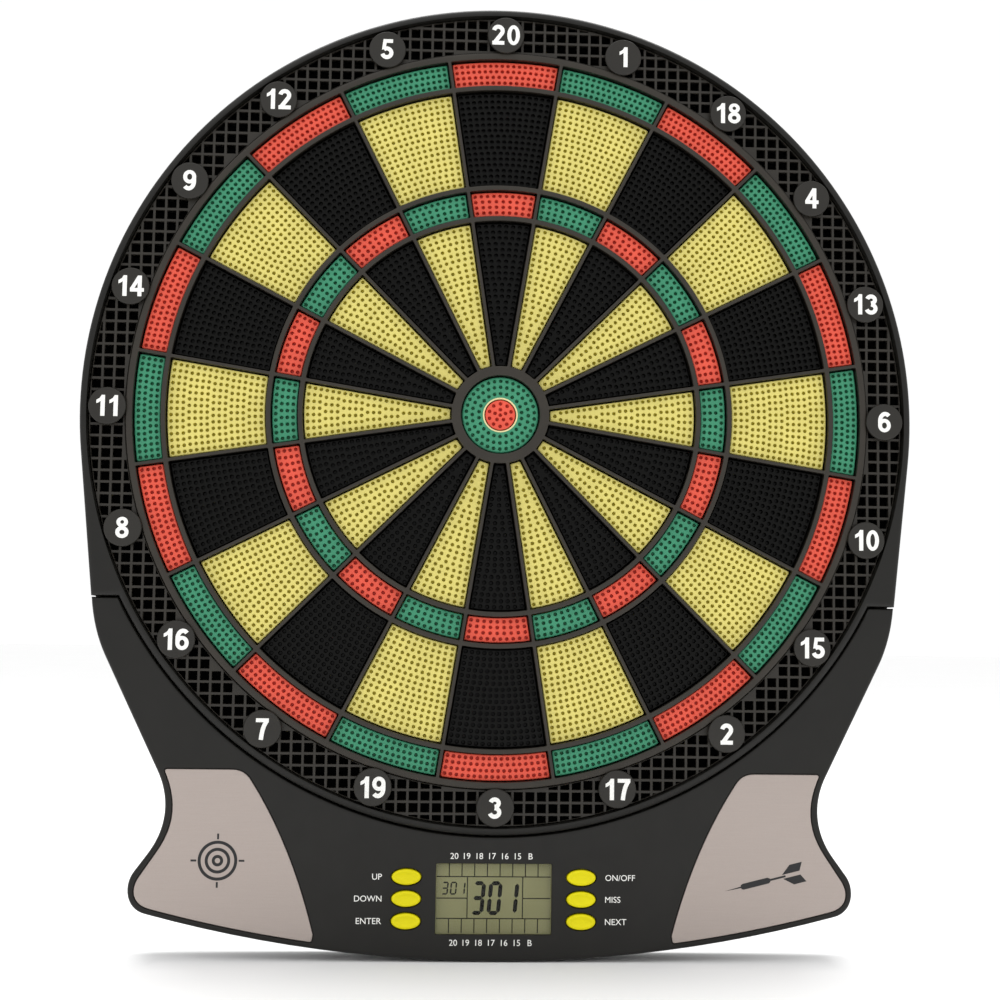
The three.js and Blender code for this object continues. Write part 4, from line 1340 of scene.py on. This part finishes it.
def make_legends():
    words = []
    for side, align, column in ((-1, "RIGHT", LEGENDS[0]), (1, "LEFT", LEGENDS[1])):
        for text, height in zip(column, BUTTON_HEIGHTS):
            words.append(lettering(text, LEGEND_HEIGHT, (side * LEGEND_COLUMN, height), COVER_FRONT, align))
    pitch = LCD_OPENING[0] / LCD_COLUMNS
    for distance in (SCALE_MARK_DISTANCE, -SCALE_MARK_DISTANCE):
        for index, text in enumerate(SCALE_MARKS):
            x = (index - len(SCALE_MARKS) // 2) * pitch + SCALE_MARK_SHIFT
            words.append(lettering(text, SCALE_MARK_HEIGHT, (x, LCD_CENTRE[1] + distance), COVER_FRONT))
    place("legends", joined(words), ["white_ink"])


def make_lcd():
    for name, size, profile, material, slot, node in (
        ("lcd_glass", LCD_PANEL_SIZE, LCD_PANEL_PROFILE, "lcd", "lcd_glass", "lcd_panel"),
        ("lcd_cover", LCD_OPENING, LCD_WINDOW_PROFILE, "window", "window_clear", "lcd_window"),
    ):
        draft = Draft()
        draft.ends(draft.drawn_in(rounded(rectangle(LCD_CENTRE, size), LCD_CORNER), profile))
        place(name, draft.mesh(), [material], replaces=[node])


def seven_segment(draft, figure, centre, size, bar):
    """One slanted figure of seven pointed bars; `bar` is half a bar's width."""
    wide, half = size[0] / 2 - bar, size[1] / 2 - bar
    places = {
        "a": ((0, half), 0), "d": ((0, -half), 0), "g": ((0, 0), 0),
        "b": ((wide, half / 2), 1), "c": ((wide, -half / 2), 1),
        "e": ((-wide, -half / 2), 1), "f": ((-wide, half / 2), 1),
    }
    for key in SEVEN_SEGMENTS[figure]:
        middle, upright = places[key]
        reach = (half / 2 if upright else wide) - 0.12 * bar
        shape = np.array([(-reach, 0), (-reach + bar, -bar), (reach - bar, -bar),
                          (reach, 0), (reach - bar, bar), (-reach + bar, bar)])
        if upright:
            shape = shape[:, ::-1] * (-1, 1)
        shape = shape + middle
        shape[:, 0] += shape[:, 1] * math.tan(FIGURE_LEAN)
        draft.printed([shape + centre], [], LCD_PANEL_FRONT, LCD_FIGURE_PRINT)


def make_lcd_figures():
    """The starting score, large in the middle and small on the left."""
    draft = Draft()
    for left, middle, pitch, size, bar in LCD_SCORES:
        for index, figure in enumerate("301"):
            x = LCD_CENTRE[0] + left + size[0] / 2 + index * pitch
            seven_segment(draft, figure, (x, LCD_CENTRE[1] + middle), size, bar)
    place("lcd_figures", draft.mesh(), ["lcd_ink"])


def make_lcd_grid():
    """Grid lines of the display."""
    draft = Draft()
    half_width, half_height = np.array(LCD_OPENING) / 2
    top_row, bottom_row = LCD_ROWS
    left_box, right_box = LCD_BOX
    gap = LCD_LINE / 2
    lines = [(-half_width, height - gap, half_width, height + gap) for height in LCD_ROWS]
    for column in range(1, LCD_COLUMNS):
        x = -half_width + column * LCD_OPENING[0] / LCD_COLUMNS
        lines.append((x - gap, top_row + gap, x + gap, half_height))
        lines.append((x - gap, -half_height, x + gap, bottom_row - gap))
    for x in LCD_BOX:
        lines.append((x - gap, bottom_row + gap, x + gap, top_row - gap))
    lines.append((-half_width, -gap, left_box - gap, gap))
    lines.append((right_box + gap, -gap, half_width, gap))
    for line in lines:
        draft.printed([box(*line) + LCD_CENTRE], [], LCD_PANEL_FRONT, LCD_LINE_PRINT)
    place("lcd_grid", draft.mesh(), ["lcd_line"])


# ---------------------------------------------------------------- CAD nodes that stay

KEPT_NODES = {
    "backing_board": "fibreboard", "sensor_membrane": "film", "cushion_mat": "foam", "membrane_tail": "film",
    "lcd_holder": "rear", "keypad_left": "rubber", "keypad_right": "rubber", "circuit_board": "board",
    "speaker": "speaker", "battery_1": "cell", "battery_2": "cell", "battery_3": "cell",
    "battery_contacts_left": "contact", "battery_contacts_right": "contact",
}


def finish_kept_nodes():
    for node, material in KEPT_NODES.items():
        for slot in frame["nodes"][node].material_slots:
            slot.material = MATERIALS[material]


# ---------------------------------------------------------------- studio

def aimed(name, data, position, aim, roll=0):
    """An object that looks from its position towards the aim."""
    item = bpy.data.objects.new(name, data)
    facing = (Vector(aim) - Vector(position)).to_track_quat("-Z", "Y").to_matrix().to_4x4()
    item.matrix_world = Matrix.Translation(position) @ facing @ Matrix.Rotation(roll, 4, "Z")
    bpy.context.scene.collection.objects.link(item)
    return item


def make_camera():
    data = bpy.data.cameras.new("camera")
    data.lens = CAMERA_LENS
    data.sensor_width = 36
    data.clip_start = 0.02
    bpy.context.scene.camera = aimed("camera", data, CAMERA_PLACE, CAMERA_AIM, CAMERA_ROLL)


def area_light(name, position, aim, size, power):
    data = bpy.data.lights.new(name, "AREA")
    data.shape = "RECTANGLE"
    data.size, data.size_y = size
    data.energy = power
    aimed(name, data, position, aim)


def make_floor():
    data = bpy.data.meshes.new("floor")
    height = cad_box[0][2] - FLOOR_CLEARANCE
    corners = rectangle((0, 0), (2 * FLOOR_REACH, 2 * FLOOR_REACH))
    data.from_pydata([(x, y, height) for x, y in corners], [], [(0, 1, 2, 3)])
    floor = bpy.data.objects.new("floor", data)
    bpy.context.scene.collection.objects.link(floor)
    nodes = Nodes("floor_paper")
    clouds = nodes.spread(nodes.noise(6))
    nodes.set(Base_Color=nodes.mixed(clouds, (0.955, 0.955, 0.955), (0.97, 0.97, 0.97)), Roughness=0.9)
    data.materials.append(nodes.material)


def make_studio():
    world = bpy.data.worlds.new("studio")
    world.use_nodes = True
    background = world.node_tree.nodes["Background"]
    background.inputs["Color"].default_value = (1, 1, 1, 1)
    background.inputs["Strength"].default_value = 1.02
    bpy.context.scene.world = world
    area_light("key", (-0.35, -1.1, 1.3), (0, 0, -0.02), (1.2, 0.8), 3)
    area_light("top", (0, 0.35, 1.6), (0, 0, 0), (1.6, 0.8), 24)
    bpy.context.scene.view_settings.view_transform = "Standard"


# ---------------------------------------------------------------- assembly

make_camera()
make_floor()
make_studio()
make_segments()
make_bulls()
make_spider()
make_lattice()
make_numbers()
make_front_housing()
make_console_cover()
make_rear_housing()
make_battery_door()
make_screws()
make_wing_panels()
make_emblems()
make_buttons()
make_legends()
make_lcd()
make_lcd_grid()
make_lcd_figures()
finish_kept_nodes()
